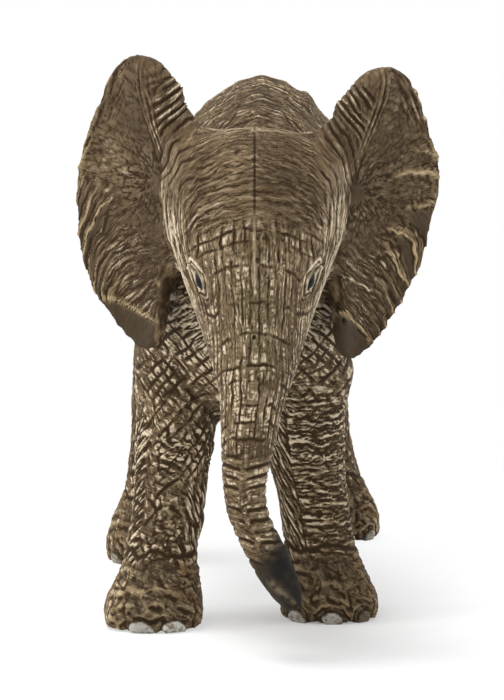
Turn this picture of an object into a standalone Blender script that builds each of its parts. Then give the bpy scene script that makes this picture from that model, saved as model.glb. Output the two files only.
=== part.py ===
"""A toy elephant calf in mid stride with its ears spread, about 60 mm tall.

The figure is moulded in solid vinyl as separate pieces that plug together and are glued: a torso with
sockets, a head with its trunk, two ears, four legs, a tail and two eye beads.
+X is the calf's left, -Y is the way it faces, and +Z is up. The four soles stand on Z = 0. Until the
last step Y = 0 is the joint of the neck, and then the origin moves to the floor under the middle of
the figure's box. Lengths are in metres.
"""

import math

import bmesh
import bpy
from mathutils import Matrix, Vector

# Torso
BACK_HEIGHT = 0.0577
BELLY_HEIGHT = 0.0198
TORSO_LENGTH = 0.0600
TORSO_WIDTH = 0.0276
BACK_LEAN = 0.0011
BELLY_LEAN = -0.0006
NECK_SLOPE = 12
STUMP_SLOPE = 24

# Where the feet stand, and how the legs lean
FORE_TRACK = 0.0188
HIND_TRACK = 0.0216
FORE_SIDE_STEP = -0.0011
HIND_SIDE_STEP = -0.0008
FORE_FOOT_PLACE = 0.0064
HIND_FOOT_PLACE = 0.0522
FORE_STRIDE = 0.0050
HIND_STRIDE = 0.0158
SHOULDER_PLACE = 0.0102
HIP_PLACE = 0.0475
SHOULDER_TRACK = 0.0128
HIP_TRACK = 0.0138
LEG_BOW = -0.0007
LEG_TOP_HEIGHT = 0.0400
FORE_JOINT_HEIGHT = 0.0210
HIND_JOINT_HEIGHT = 0.0224

# Feet
FORE_FOOT_WIDTH = 0.0106
FORE_FOOT_LENGTH = 0.0110
HIND_FOOT_WIDTH = 0.0108
HIND_FOOT_LENGTH = 0.0106
NAIL_WIDTH = 0.0030
NAIL_HEIGHT = 0.0022
NAIL_THICKNESS = 0.0005
NAIL_RISE = 0.0014

# Head
CROWN_HEIGHT = 0.0538
HEAD_HEIGHT = 0.0230
HEAD_WIDTH = 0.0200
HEAD_LENGTH = 0.0196
HEAD_SIDE_STEP = 0.0003
JAW_LENGTH = 0.0095
JAW_WIDTH = 0.0080
JAW_HEIGHT = 0.0062
EYE_SPACING = 0.0122
EYE_RISE = 0.0078
EYE_RADIUS = 0.00125
EYE_STAND_OUT = 0.0004

# Trunk
TRUNK_TIP_HEIGHT = 0.0052
TRUNK_ROOT_WIDTH = 0.0094
TRUNK_SWING = 0.0042
TRUNK_SET_BACK = 0.0046

# Ears
EAR_HEIGHT = 0.0311
EAR_RISE = 0.0074
EAR_SPREAD = 0.0189
EAR_ROOT_DEPTH = 0.0030
EAR_ROOT_PLACE = -0.0088
EAR_LOBE_BULGE = 0.0019
EAR_CUP_DEPTH = 0.0022
EAR_SWEEP = 0.0100
EAR_RIPPLE = 0.0005
LEFT_EAR_ROLL = 5.6
LEFT_EAR_DROP = 0.0009
LEFT_EAR_REACH = 0.0002

# Tail
TAIL_LENGTH = 0.0250
TAIL_SET_BACK = 0.0034
TAIL_ROOT_HEIGHT = 0.0448
TAIL_ROOT_WIDTH = 0.0034
TAIL_TUFT_WIDTH = 0.0030

# Plugs that the pieces are glued by
GLUE_GAP = 0.0003
NECK_PLUG_WIDTH = 0.0070
NECK_PLUG_HEIGHT = 0.0086
NECK_PLUG_LENGTH = 0.0062
LEG_PLUG_WIDTH = 0.0044
LEG_PLUG_DEPTH = 0.0050
LEG_PLUG_LENGTH = 0.0056
EAR_TONGUE_HEIGHT = 0.0052
EAR_TONGUE_THICKNESS = 0.0014
EAR_TONGUE_LENGTH = 0.0050
EAR_TONGUE_REACH = 0.0009
EAR_TONGUE_SET_BACK = 0.0023
TAIL_PLUG_WIDTH = 0.0016
TAIL_PLUG_LENGTH = 0.0050
PLUG_EDGE = 0.0006
PLUG_ROOT = 0.0020

# Torso sections from inside the head to the rump: place, half width, top, bottom, and gable of the back
TORSO_SECTION_SHARES = (
    (-0.130, 0.46, 0.76, 0.38, 0.04),
    (-0.040, 0.66, 0.81, 0.20, 0.10),
    (0.050, 0.83, 0.88, 0.07, 0.18),
    (0.150, 0.91, 0.94, 0.01, 0.24),
    (0.280, 0.97, 0.975, -0.01, 0.28),
    (0.430, 1.01, 1.00, -0.02, 0.30),
    (0.580, 1.00, 1.00, 0.01, 0.30),
    (0.730, 0.94, 0.965, 0.08, 0.26),
    (0.850, 0.83, 0.895, 0.17, 0.18),
    (0.940, 0.64, 0.785, 0.30, 0.10),
    (1.000, 0.36, 0.655, 0.45, 0.00),
)

# Leg sections from the sole to inside the body: height, half width, half length, and way to the top
FORELEG_SECTION_SHARES = (
    (0.000, 0.95, 0.94, 0.00),
    (0.035, 1.02, 1.01, 0.00),
    (0.075, 0.98, 0.96, 0.05),
    (0.115, 0.86, 0.85, 0.16),
    (0.160, 0.775, 0.77, 0.26),
    (0.210, 0.745, 0.74, 0.34),
    (0.290, 0.72, 0.75, 0.46),
    (0.375, 0.735, 0.81, 0.58),
    (0.475, 0.80, 0.95, 0.74),
    (0.590, 0.91, 1.24, 0.88),
    (0.720, 0.98, 1.52, 0.96),
    (0.870, 0.92, 1.56, 1.00),
    (1.000, 0.60, 1.10, 1.00),
)
HINDLEG_SECTION_SHARES = (
    (0.000, 0.93, 0.92, 0.00),
    (0.045, 1.00, 1.00, 0.00),
    (0.105, 0.93, 0.95, 0.03),
    (0.155, 0.77, 0.80, 0.08),
    (0.205, 0.70, 0.77, 0.18),
    (0.290, 0.68, 0.82, 0.34),
    (0.375, 0.73, 0.93, 0.50),
    (0.475, 0.84, 1.22, 0.66),
    (0.590, 0.94, 1.60, 0.82),
    (0.720, 0.98, 1.96, 0.94),
    (0.870, 0.94, 2.00, 1.00),
    (1.000, 0.68, 1.40, 1.00),
)
FOOT_SQUARENESS_SHARE = 0.10
FORE_NAIL_TURNS = (-56, -19, 18, 54)
HIND_NAIL_TURNS = (-42, 0, 42)

# Head sections from crown to mouth: height, front, back, half width, and how far the front narrows
HEAD_SECTION_SHARES = (
    (1.000, 0.66, 0.34, 0.42, 0.00),
    (0.955, 0.80, 0.20, 0.76, 0.04),
    (0.840, 0.92, 0.10, 0.97, 0.08),
    (0.690, 0.99, 0.05, 1.05, 0.12),
    (0.530, 1.01, 0.06, 1.03, 0.24),
    (0.380, 1.00, 0.10, 0.96, 0.38),
    (0.240, 0.98, 0.16, 0.84, 0.44),
    (0.110, 0.965, 0.26, 0.67, 0.36),
    (0.010, 0.955, 0.38, 0.53, 0.20),
)
# Trunk sections from mouth to tip: drop, sideways swing, half width, half depth, and backward set
TRUNK_SECTION_SHARES = (
    (0.085, -0.02, 0.85, 0.90, 0.00),
    (0.170, -0.05, 0.715, 0.78, -0.02),
    (0.270, -0.10, 0.640, 0.71, -0.02),
    (0.380, -0.17, 0.575, 0.64, 0.02),
    (0.490, -0.22, 0.500, 0.57, 0.10),
    (0.580, -0.20, 0.465, 0.53, 0.16),
    (0.665, -0.06, 0.455, 0.50, 0.20),
    (0.740, 0.14, 0.445, 0.48, 0.20),
    (0.810, 0.36, 0.430, 0.46, 0.16),
    (0.875, 0.58, 0.400, 0.43, 0.10),
    (0.930, 0.77, 0.345, 0.38, 0.02),
    (0.975, 0.92, 0.250, 0.28, -0.08),
    (1.000, 1.00, 0.120, 0.14, -0.14),
)
JAW_SECTION_SHARES = (
    (0.00, 1.00, 1.00, 0.00),
    (0.35, 0.96, 0.92, -0.04),
    (0.65, 0.80, 0.72, -0.12),
    (0.88, 0.52, 0.46, -0.20),
    (1.00, 0.22, 0.22, -0.24),
)
JAW_PLACE_SHARE = 0.30
JAW_RISE_SHARE = 0.13

# Ear rows from top to bottom. Each goes outward and up to the inner edge, the fold and the rim, and then
# gives how far its edge and its fold are swept back
EAR_ROW_SHARES = (
    ((0.595, 0.990), (0.640, 0.999), (0.690, 0.990), 0.30, 0.34),
    ((0.535, 0.968), (0.672, 0.950), (0.760, 0.955), 0.24, 0.30),
    ((0.478, 0.935), (0.668, 0.880), (0.822, 0.890), 0.18, 0.24),
    ((0.408, 0.872), (0.625, 0.800), (0.890, 0.775), 0.12, 0.16),
    ((0.310, 0.802), (0.580, 0.722), (0.940, 0.705), 0.10, 0.10),
    ((0.240, 0.725), (0.530, 0.625), (0.985, 0.610), 0.10, 0.05),
    ((0.330, 0.600), (0.512, 0.545), (1.000, 0.500), 0.10, 0.02),
    ((0.345, 0.490), (0.514, 0.445), (0.985, 0.400), 0.12, 0.00),
    ((0.360, 0.390), (0.520, 0.345), (0.960, 0.305), 0.14, 0.02),
    ((0.420, 0.270), (0.545, 0.262), (0.905, 0.215), 0.24, 0.10),
    ((0.463, 0.190), (0.560, 0.180), (0.838, 0.148), 0.30, 0.20),
    ((0.466, 0.120), (0.565, 0.105), (0.772, 0.084), 0.34, 0.30),
    ((0.490, 0.065), (0.570, 0.045), (0.700, 0.036), 0.38, 0.38),
    ((0.530, 0.014), (0.585, 0.002), (0.640, 0.008), 0.44, 0.44),
)
EAR_LOBE_STOPS = (0.42, 0.78)
EAR_LOBE_BULGE_SHARES = (1.00, 0.55)
EAR_FAN_STOPS = (0.18, 0.46, 0.76, 1.00)
EAR_FAN_CUP_SHARES = (0.70, 1.00, 0.60, 0.00)
EAR_DEPTH_SHARES = (0.80, 1.15, 1.22, 1.00, 0.92, 0.70, 0.52, 0.38)
EAR_END_DEPTH_SHARE = 0.45
EAR_RIPPLES = 3.5
EAR_TONGUE_ROW = 7

# Tail sections: way down, way back, and half width
TAIL_SECTION_SHARES = (
    (-0.04, -0.80, 1.10),
    (0.00, 0.00, 1.00),
    (0.10, 0.56, 0.80),
    (0.26, 0.86, 0.58),
    (0.48, 1.00, 0.44),
    (0.70, 1.00, 0.40),
    (0.84, 0.98, 0.92),
    (0.95, 0.95, 0.66),
    (1.00, 0.94, 0.24),
)
TAIL_TUFT_SHARE = 0.8

# Facets
TORSO_SIDES = 16
LEG_SIDES = 10
HEAD_SIDES = 14
TAIL_SIDES = 6
BEAD_SEGMENTS = 12
BEAD_RINGS = 8
NAIL_SEGMENTS = 8
NAIL_RINGS = 5

# Vinyl colours, written as linear values
HIDE_COLOUR = (0.190, 0.142, 0.088)
EAR_COLOUR = (0.165, 0.122, 0.074)
EYE_COLOUR = (0.030, 0.036, 0.055)
HIDE_ROUGHNESS = 0.62
EYE_ROUGHNESS = 0.12

BARREL_HEIGHT = BACK_HEIGHT - BELLY_HEIGHT
MOUTH_HEIGHT = CROWN_HEIGHT - HEAD_HEIGHT
TRUNK_DROP = MOUTH_HEIGHT - TRUNK_TIP_HEIGHT
EYE_HEIGHT = MOUTH_HEIGHT + EYE_RISE
EAR_TOP_HEIGHT = CROWN_HEIGHT + EAR_RISE
NECK_HEIGHT = BELLY_HEIGHT + BARREL_HEIGHT * 0.58
LEFT, RIGHT = 1, -1


def start_scene():
    """Removes what the file opens with, and makes the two collections."""
    for old in list(bpy.data.objects):
        bpy.data.objects.remove(old)
    made = []
    for name in ("toy_elephant_calf", "cutters"):
        collection = bpy.data.collections.new(name)
        bpy.context.scene.collection.children.link(collection)
        made.append(collection)
    return made


def vinyl(name, colour, roughness):
    material = bpy.data.materials.new(name)
    material.use_nodes = True
    shader = material.node_tree.nodes["Principled BSDF"]
    shader.inputs["Base Color"].default_value = (*colour, 1.0)
    shader.inputs["Roughness"].default_value = roughness
    shader.inputs["Metallic"].default_value = 0.0
    return material


def new_object(name, mesh, collection):
    made = bpy.data.objects.new(name, mesh)
    collection.objects.link(made)
    return made


def object_from_bmesh(name, shape, collection):
    mesh = bpy.data.meshes.new(name)
    bmesh.ops.recalc_face_normals(shape, faces=shape.faces)
    shape.to_mesh(mesh)
    shape.free()
    return new_object(name, mesh, collection)


def as_cutter(piece):
    piece.hide_render = True
    piece.display_type = "WIRE"
    return piece


def freeze(piece):
    """Swaps the piece's mesh for the one that its modifiers make."""
    graph = bpy.context.evaluated_depsgraph_get()
    graph.update()
    mesh = bpy.data.meshes.new_from_object(piece.evaluated_get(graph))
    piece.modifiers.clear()
    old = piece.data
    piece.data = mesh
    bpy.data.meshes.remove(old)


def smoothed(piece):
    surface = piece.modifiers.new("surface", "SUBSURF")
    surface.levels = 1
    surface.render_levels = 1
    freeze(piece)
    return piece


def combine(piece, other, operation):
    """Joins or cuts the piece with another solid."""
    step = piece.modifiers.new(operation.lower(), "BOOLEAN")
    step.operation = operation
    step.object = other
    step.solver = "EXACT"
    freeze(piece)


def grown(piece, collection):
    """A hidden copy of the solid, thicker all over by the glue gap, which cuts a neighbour back."""
    copy = new_object(piece.name + "_seat", piece.data.copy(), collection)
    swell = copy.modifiers.new("swell", "DISPLACE")
    swell.mid_level = 0.0
    swell.strength = GLUE_GAP
    freeze(copy)
    return as_cutter(copy)


def split(piece, point, normal, name, collection):
    """Parts a solid at a plane, with the glue gap between. The piece keeps the side behind the plane,
    and the side in front is returned."""
    other = new_object(name, piece.data.copy(), collection)
    for half, facing in ((piece, 1), (other, -1)):
        shape = bmesh.new()
        shape.from_mesh(half.data)
        place = point - normal * (facing * GLUE_GAP / 2)
        everything = shape.verts[:] + shape.edges[:] + shape.faces[:]
        cut = bmesh.ops.bisect_plane(
            shape, geom=everything, plane_co=place, plane_no=normal * facing, clear_outer=True
        )
        rim = [edge for edge in cut["geom_cut"] if isinstance(edge, bmesh.types.BMEdge)]
        bmesh.ops.contextual_create(shape, geom=rim)
        bmesh.ops.recalc_face_normals(shape, faces=shape.faces)
        shape.to_mesh(half.data)
        shape.free()
    return as_cutter(other)


def swell(count):
    """How much wider a cage of so many sides is than the smooth ring that comes of it."""
    return 4 / (3 + math.cos(2 * math.pi / count))


def loft(name, rings, collection, flat_start=False):
    """A closed skin over rings that all have the same number of points, with a face across each end."""
    shape = bmesh.new()
    crease = shape.edges.layers.float.new("crease_edge")
    layers = [[shape.verts.new(point) for point in ring] for ring in rings]
    for lower, upper in zip(layers, layers[1:]):
        count = len(lower)
        for k in range(count):
            after = (k + 1) % count
            shape.faces.new((lower[k], lower[after], upper[after], upper[k]))
    start = shape.faces.new(list(reversed(layers[0])))
    shape.faces.new(layers[-1])
    if flat_start:
        for edge in start.edges:
            edge[crease] = 1.0
    return object_from_bmesh(name, shape, collection)


def rounded_block(name, size, where, collection):
    """A box with its edges rounded, which keys a plug against turning."""
    shape = bmesh.new()
    bmesh.ops.create_cube(shape, size=1.0)
    bmesh.ops.scale(shape, vec=size, verts=shape.verts)
    edge = min(PLUG_EDGE, min(size) / 4)
    bmesh.ops.bevel(shape, geom=shape.edges[:], offset=edge, segments=1, affect="EDGES")
    bmesh.ops.transform(shape, matrix=where, verts=shape.verts)
    return as_cutter(object_from_bmesh(name, shape, collection))


def plug_in(piece, host, name, size, where, cutters):
    """Gives the piece a keyed plug, and gives the host the socket for it."""
    gaps = 2 * Vector((GLUE_GAP, GLUE_GAP, GLUE_GAP))
    combine(piece, rounded_block(name + "_plug", size, where, cutters), "UNION")
    combine(host, rounded_block(name + "_socket", size + gaps, where, cutters), "DIFFERENCE")


def torso_ring(share):
    along, wide, top, bottom, gable = share
    high = BELLY_HEIGHT + top * BARREL_HEIGHT
    low = BELLY_HEIGHT + bottom * BARREL_HEIGHT
    middle = (high + low) / 2
    half = (high - low) / 2 * swell(TORSO_SIDES)
    half_width = wide * TORSO_WIDTH / 2 * swell(TORSO_SIDES)
    ring = []
    for k in range(TORSO_SIDES):
        turn = 2 * math.pi * k / TORSO_SIDES
        side, up = math.sin(turn), math.cos(turn)
        if up > 0:
            up *= 1 - gable * abs(side)
        z = middle + up * half
        lean = BELLY_LEAN + (BACK_LEAN - BELLY_LEAN) * (z - BELLY_HEIGHT) / BARREL_HEIGHT
        ring.append(Vector((side * half_width + lean, along * TORSO_LENGTH, z)))
    return ring


def make_torso(collection):
    rings = [torso_ring(share) for share in TORSO_SECTION_SHARES]
    return smoothed(loft("torso", rings, collection))


def leg_ring(centre, half_width, half_length, squareness):
    """A level ring round a leg, a little squarer than an ellipse where the foot is."""
    ring = []
    for k in range(LEG_SIDES):
        turn = 2 * math.pi * (k + 0.5) / LEG_SIDES
        side, fore = math.sin(turn), math.cos(turn)
        push = (1 + squareness * abs(math.sin(2 * turn))) * swell(LEG_SIDES)
        ring.append(centre + Vector((side * half_width * push, -fore * half_length * push, 0)))
    return ring


def leg_places(fore, side):
    """Where a leg's foot and top stand, over the floor plan."""
    if fore:
        track, step = FORE_TRACK, FORE_SIDE_STEP
        place, stride = FORE_FOOT_PLACE, FORE_STRIDE
        top_track, top_place = SHOULDER_TRACK, SHOULDER_PLACE
    else:
        track, step = HIND_TRACK, HIND_SIDE_STEP
        place, stride = HIND_FOOT_PLACE, HIND_STRIDE
        top_track, top_place = HIP_TRACK, HIP_PLACE
    foot = Vector((side * track / 2 + step, place + side * stride / 2, 0))
    top = Vector((side * top_track / 2 + BELLY_LEAN, top_place, LEG_TOP_HEIGHT))
    return foot, top


def make_nail(name, foot, width, length, turn, cutters):
    """A toenail: a low dome on the front of the foot, just above the floor."""
    shape = bmesh.new()
    bmesh.ops.create_uvsphere(shape, u_segments=NAIL_SEGMENTS, v_segments=NAIL_RINGS, radius=0.5)
    bmesh.ops.scale(shape, vec=(NAIL_WIDTH, 2 * NAIL_THICKNESS, NAIL_HEIGHT), verts=shape.verts)
    angle = math.radians(turn)
    out = Vector((math.sin(angle) * width / 2, -math.cos(angle) * length / 2, NAIL_RISE))
    where = Matrix.Translation(foot + out) @ Matrix.Rotation(angle, 4, "Z")
    bmesh.ops.transform(shape, matrix=where, verts=shape.verts)
    return as_cutter(object_from_bmesh(name, shape, cutters))


def make_leg(name, fore, side, torso, collection, cutters):
    """A leg below its joint, plugged into a stump above the joint that is one with the torso."""
    foot, top = leg_places(fore, side)
    if fore:
        shares, turns, height = FORELEG_SECTION_SHARES, FORE_NAIL_TURNS, FORE_JOINT_HEIGHT
        width, length = FORE_FOOT_WIDTH, FORE_FOOT_LENGTH
    else:
        shares, turns, height = HINDLEG_SECTION_SHARES, HIND_NAIL_TURNS, HIND_JOINT_HEIGHT
        width, length = HIND_FOOT_WIDTH, HIND_FOOT_LENGTH
    rings = []
    joint = None
    for high, wide, long, way in shares:
        centre = foot.lerp(top, way)
        centre.z = high * LEG_TOP_HEIGHT
        centre.x += LEG_BOW * math.sin(math.pi * high) ** 2
        squareness = FOOT_SQUARENESS_SHARE * max(0, 1 - 3 * high)
        rings.append(leg_ring(centre, wide * width / 2, long * length / 2, squareness))
        if joint is None and centre.z > height:
            joint = Vector((centre.x, centre.y, height))
    leg = smoothed(loft(name, rings, collection, flat_start=True))
    slope = Matrix.Rotation(-side * math.radians(STUMP_SLOPE), 4, "Y")
    stump = split(leg, joint, slope @ Vector((0, 0, 1)), name + "_stump", cutters)
    combine(torso, stump, "UNION")
    for number, turn in enumerate(turns):
        nail = make_nail(f"{name}_nail_{number}", foot, width, length, side * turn, cutters)
        combine(leg, nail, "UNION")
    size = Vector((LEG_PLUG_WIDTH, LEG_PLUG_DEPTH, LEG_PLUG_LENGTH + PLUG_ROOT))
    rise = Matrix.Translation((0, 0, (LEG_PLUG_LENGTH - PLUG_ROOT) / 2))
    plug_in(leg, torso, name, size, Matrix.Translation(joint) @ slope @ rise, cutters)
    return leg


def head_ring(share):
    high, front, back, wide, narrow = share
    fore, aft = -front * HEAD_LENGTH, -back * HEAD_LENGTH
    middle = (fore + aft) / 2
    half = (aft - fore) / 2 * swell(HEAD_SIDES)
    half_width = wide * HEAD_WIDTH / 2 * swell(HEAD_SIDES)
    ring = []
    for k in range(HEAD_SIDES):
        turn = 2 * math.pi * k / HEAD_SIDES
        side, ahead = math.sin(turn), math.cos(turn)
        x = HEAD_SIDE_STEP + side * half_width * (1 - narrow * (0.5 + 0.5 * ahead))
        ring.append(Vector((x, middle - ahead * half, MOUTH_HEIGHT + high * HEAD_HEIGHT)))
    return ring


def trunk_rings():
    """Rings square to the trunk's own line, which hangs, swings to the calf's left and ends in a lip."""
    shares = TRUNK_SECTION_SHARES
    half_width = TRUNK_ROOT_WIDTH / 2 * swell(HEAD_SIDES)
    line = []
    for drop, swing, _, _, set_back in shares:
        y = TRUNK_SET_BACK * (1 + set_back) - HEAD_LENGTH
        line.append(Vector((HEAD_SIDE_STEP + swing * TRUNK_SWING, y, MOUTH_HEIGHT - drop * TRUNK_DROP)))
    rings = []
    for k, (_, _, wide, deep, _) in enumerate(shares):
        before, after = line[max(k - 1, 0)], line[min(k + 1, len(line) - 1)]
        along = (after - before).normalized()
        if k == 0:
            along = Vector((0, 0, -1))
        across = Vector((0, -1, 0)).cross(along).normalized()
        ahead = along.cross(across)
        ring = []
        for j in range(HEAD_SIDES):
            turn = 2 * math.pi * j / HEAD_SIDES
            side, fore = math.sin(turn), math.cos(turn)
            offset = across * (side * wide * half_width) + ahead * (fore * deep * half_width)
            ring.append(line[k] + offset)
        rings.append(ring)
    return rings


def make_jaw(cutters):
    """The lower jaw and lip, behind the root of the trunk."""
    rise = MOUTH_HEIGHT + JAW_RISE_SHARE * HEAD_HEIGHT
    start = Vector((HEAD_SIDE_STEP, -JAW_PLACE_SHARE * HEAD_LENGTH, rise))
    rings = []
    for along, wide, high, drop in JAW_SECTION_SHARES:
        centre = start + Vector((0, -along * JAW_LENGTH, drop * JAW_LENGTH))
        ring = []
        for k in range(HEAD_SIDES):
            turn = 2 * math.pi * k / HEAD_SIDES
            side, up = math.sin(turn), math.cos(turn)
            ring.append(centre + Vector((side * wide * JAW_WIDTH / 2, 0, up * high * JAW_HEIGHT / 2)))
        rings.append(ring)
    return as_cutter(smoothed(loft("jaw", rings, cutters)))


def make_head(torso, collection, cutters):
    """The head and trunk, with the part of the neck that lies before the joint. The seats that the
    ears are cut back by are returned too."""
    rings = [head_ring(share) for share in HEAD_SECTION_SHARES] + trunk_rings()
    head = smoothed(loft("head", rings, collection))
    seats = [grown(head, cutters), grown(torso, cutters)]
    combine(head, make_jaw(cutters), "UNION")
    combine(head, torso, "UNION")
    slope = Matrix.Rotation(-math.radians(NECK_SLOPE), 4, "X")
    joint = Vector((0, 0, NECK_HEIGHT))
    backward = slope @ Vector((0, 1, 0))
    split(head, joint, backward, "head_rest", cutters)
    split(torso, joint, -backward, "torso_rest", cutters)
    size = Vector((NECK_PLUG_WIDTH, NECK_PLUG_LENGTH + PLUG_ROOT, NECK_PLUG_HEIGHT))
    rise = Matrix.Translation((0, (NECK_PLUG_LENGTH - PLUG_ROOT) / 2, 0))
    plug_in(head, torso, "neck", size, Matrix.Translation(joint) @ slope @ rise, cutters)
    return head, seats


def ear_point(outward, up, back):
    low = EAR_TOP_HEIGHT - EAR_HEIGHT
    return Vector((outward * EAR_SPREAD, EAR_ROOT_PLACE + back, low + up * EAR_HEIGHT))


def ear_rows():
    """The ear's front surface as a grid: inner edge, round lobe, fold, then the fan out to the rim."""
    rows = []
    last = len(EAR_ROW_SHARES) - 1
    for k, (edge, fold, rim, edge_sweep, fold_sweep) in enumerate(EAR_ROW_SHARES):
        middle = math.sin(math.pi * k / last) ** 0.5 if 0 < k < last else 0
        edge_back, fold_back = edge_sweep * EAR_SWEEP, fold_sweep * EAR_SWEEP
        rim_back = fold_back + (EAR_SWEEP - fold_back) * middle
        row = [ear_point(*edge, edge_back)]
        for stop, bulge in zip(EAR_LOBE_STOPS, EAR_LOBE_BULGE_SHARES):
            outward = edge[0] + (fold[0] - edge[0]) * stop
            up = edge[1] + (fold[1] - edge[1]) * stop
            back = edge_back + (fold_back - edge_back) * stop - bulge * middle * EAR_LOBE_BULGE
            row.append(ear_point(outward, up, back))
        row.append(ear_point(*fold, fold_back))
        for stop, cup in zip(EAR_FAN_STOPS, EAR_FAN_CUP_SHARES):
            outward = fold[0] + (rim[0] - fold[0]) * stop
            up = fold[1] + (rim[1] - fold[1]) * stop
            wave = EAR_RIPPLE * stop**3 * math.sin(2 * math.pi * EAR_RIPPLES * k / last)
            back = fold_back + (rim_back - fold_back) * stop + middle * cup * EAR_CUP_DEPTH + wave
            row.append(ear_point(outward, up, back))
        rows.append(row)
    return rows


def ear_pose(side):
    """The right ear stands as drawn. The left one is mirrored, rolls out and hangs a little lower."""
    mirror = Matrix.Translation((HEAD_SIDE_STEP, 0, 0)) @ Matrix.Diagonal((side, 1, 1, 1))
    if side == RIGHT:
        return mirror
    pivot = Matrix.Translation((EAR_SPREAD / 2, 0, EAR_TOP_HEIGHT - EAR_HEIGHT / 2))
    roll = Matrix.Rotation(math.radians(LEFT_EAR_ROLL), 4, "Y")
    shift = Matrix.Translation((LEFT_EAR_REACH, 0, -LEFT_EAR_DROP))
    return mirror @ shift @ pivot @ roll @ pivot.inverted()


def ear_depth(row, column):
    """How far the ear's back surface lies behind its front one."""
    middle = math.sin(math.pi * row / (len(EAR_ROW_SHARES) - 1))
    end = EAR_END_DEPTH_SHARE + (1 - EAR_END_DEPTH_SHARE) * middle
    return Vector((0, EAR_ROOT_DEPTH * EAR_DEPTH_SHARES[column] * end, 0))


def make_ear(name, side, head, seats, collection, cutters):
    """A cupped sheet, thick at the fold and thin at the rim, with a tongue that plugs into the head."""
    pose = ear_pose(side)
    rows = ear_rows()
    rings = []
    for k, row in enumerate(rows):
        back = [point + ear_depth(k, column) for column, point in enumerate(row)]
        rings.append([pose @ point for point in row + back[::-1]])
    ear = smoothed(loft(name, rings, collection))
    for seat in seats:
        combine(ear, seat, "DIFFERENCE")
    fold = rows[EAR_TONGUE_ROW][len(EAR_LOBE_STOPS) + 1]
    middle = fold + Vector((EAR_TONGUE_REACH - EAR_TONGUE_LENGTH / 2, EAR_TONGUE_SET_BACK, 0))
    size = Vector((EAR_TONGUE_LENGTH, EAR_TONGUE_THICKNESS, EAR_TONGUE_HEIGHT))
    plug_in(ear, head, name, size, pose @ Matrix.Translation(middle), cutters)
    return ear


def make_tail(torso, torso_seat, collection, cutters):
    """The tail leaves the rump, hangs clear of it and ends in a tuft."""
    root = Vector((BACK_LEAN, TORSO_LENGTH, TAIL_ROOT_HEIGHT))
    rings = []
    for down, back, wide in TAIL_SECTION_SHARES:
        centre = root + Vector((0, back * TAIL_SET_BACK, -down * TAIL_LENGTH))
        size = TAIL_ROOT_WIDTH if down < TAIL_TUFT_SHARE else TAIL_TUFT_WIDTH
        ring = []
        for k in range(TAIL_SIDES):
            turn = 2 * math.pi * k / TAIL_SIDES
            offset = Vector((math.sin(turn), -math.cos(turn), 0)) * (wide * size / 2)
            ring.append(centre + offset)
        rings.append(ring)
    tail = smoothed(loft("tail", rings, collection))
    combine(tail, torso_seat, "DIFFERENCE")
    size = Vector((TAIL_PLUG_WIDTH, TAIL_PLUG_LENGTH, TAIL_PLUG_WIDTH))
    where = Matrix.Translation(root - Vector((0, TAIL_PLUG_LENGTH / 2 - TAIL_PLUG_WIDTH / 2, 0)))
    plug_in(tail, torso, "tail", size, where, cutters)
    return tail


def make_bead(name, centre, radius, collection):
    shape = bmesh.new()
    bmesh.ops.create_uvsphere(shape, u_segments=BEAD_SEGMENTS, v_segments=BEAD_RINGS, radius=radius)
    bmesh.ops.translate(shape, vec=centre, verts=shape.verts)
    return object_from_bmesh(name, shape, collection)


def make_eye(name, side, head, collection, cutters):
    """A domed bead, seated in a round socket so that only its front shows."""
    x = HEAD_SIDE_STEP + side * EYE_SPACING / 2
    start = Vector((x, -2 * HEAD_LENGTH, EYE_HEIGHT))
    hit, place, facing, _ = head.ray_cast(start, Vector((0, 1, 0)))
    if not hit:
        raise ValueError("the eye's ray missed the head")
    centre = place - facing * (EYE_RADIUS - EYE_STAND_OUT)
    socket = make_bead(name + "_socket", centre, EYE_RADIUS + GLUE_GAP, cutters)
    combine(head, as_cutter(socket), "DIFFERENCE")
    return make_bead(name, centre, EYE_RADIUS, collection)


def box_of(pieces):
    points = [piece.matrix_world @ vertex.co for piece in pieces for vertex in piece.data.vertices]
    low = Vector([min(point[axis] for point in points) for axis in range(3)])
    high = Vector([max(point[axis] for point in points) for axis in range(3)])
    return low, high


def main():
    parts, cutters = start_scene()
    hide = vinyl("hide_vinyl", HIDE_COLOUR, HIDE_ROUGHNESS)
    ear_vinyl = vinyl("ear_vinyl", EAR_COLOUR, HIDE_ROUGHNESS)
    gloss = vinyl("eye_gloss", EYE_COLOUR, EYE_ROUGHNESS)

    torso = make_torso(parts)
    legs = []
    for name, fore, side in (
        ("foreleg_left", True, LEFT),
        ("foreleg_right", True, RIGHT),
        ("hindleg_left", False, LEFT),
        ("hindleg_right", False, RIGHT),
    ):
        legs.append(make_leg(name, fore, side, torso, parts, cutters))
    head, seats = make_head(torso, parts, cutters)
    ears = []
    eyes = []
    for word, side in (("left", LEFT), ("right", RIGHT)):
        ears.append(make_ear("ear_" + word, side, head, seats, parts, cutters))
        eyes.append(make_eye("eye_" + word, side, head, parts, cutters))
    tail = make_tail(torso, seats[1], parts, cutters)

    pieces = [torso, head, tail, *legs, *ears, *eyes]
    low, high = box_of(pieces)
    shift = Vector((-(low.x + high.x) / 2, -(low.y + high.y) / 2, 0))
    for piece in pieces:
        piece.location = shift
        piece.data.materials.clear()
        piece.data.materials.append(hide)
        piece.data.shade_smooth()
    for ear in ears:
        ear.data.materials[0] = ear_vinyl
    for eye in eyes:
        eye.data.materials[0] = gloss
    size = (high - low) * 1000
    print(f"figure {size.x:.1f} x {size.y:.1f} x {size.z:.1f} mm")
    print(f"moved by {shift.x * 1000:.2f} mm along X and {shift.y * 1000:.2f} mm along Y")


main()
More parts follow.
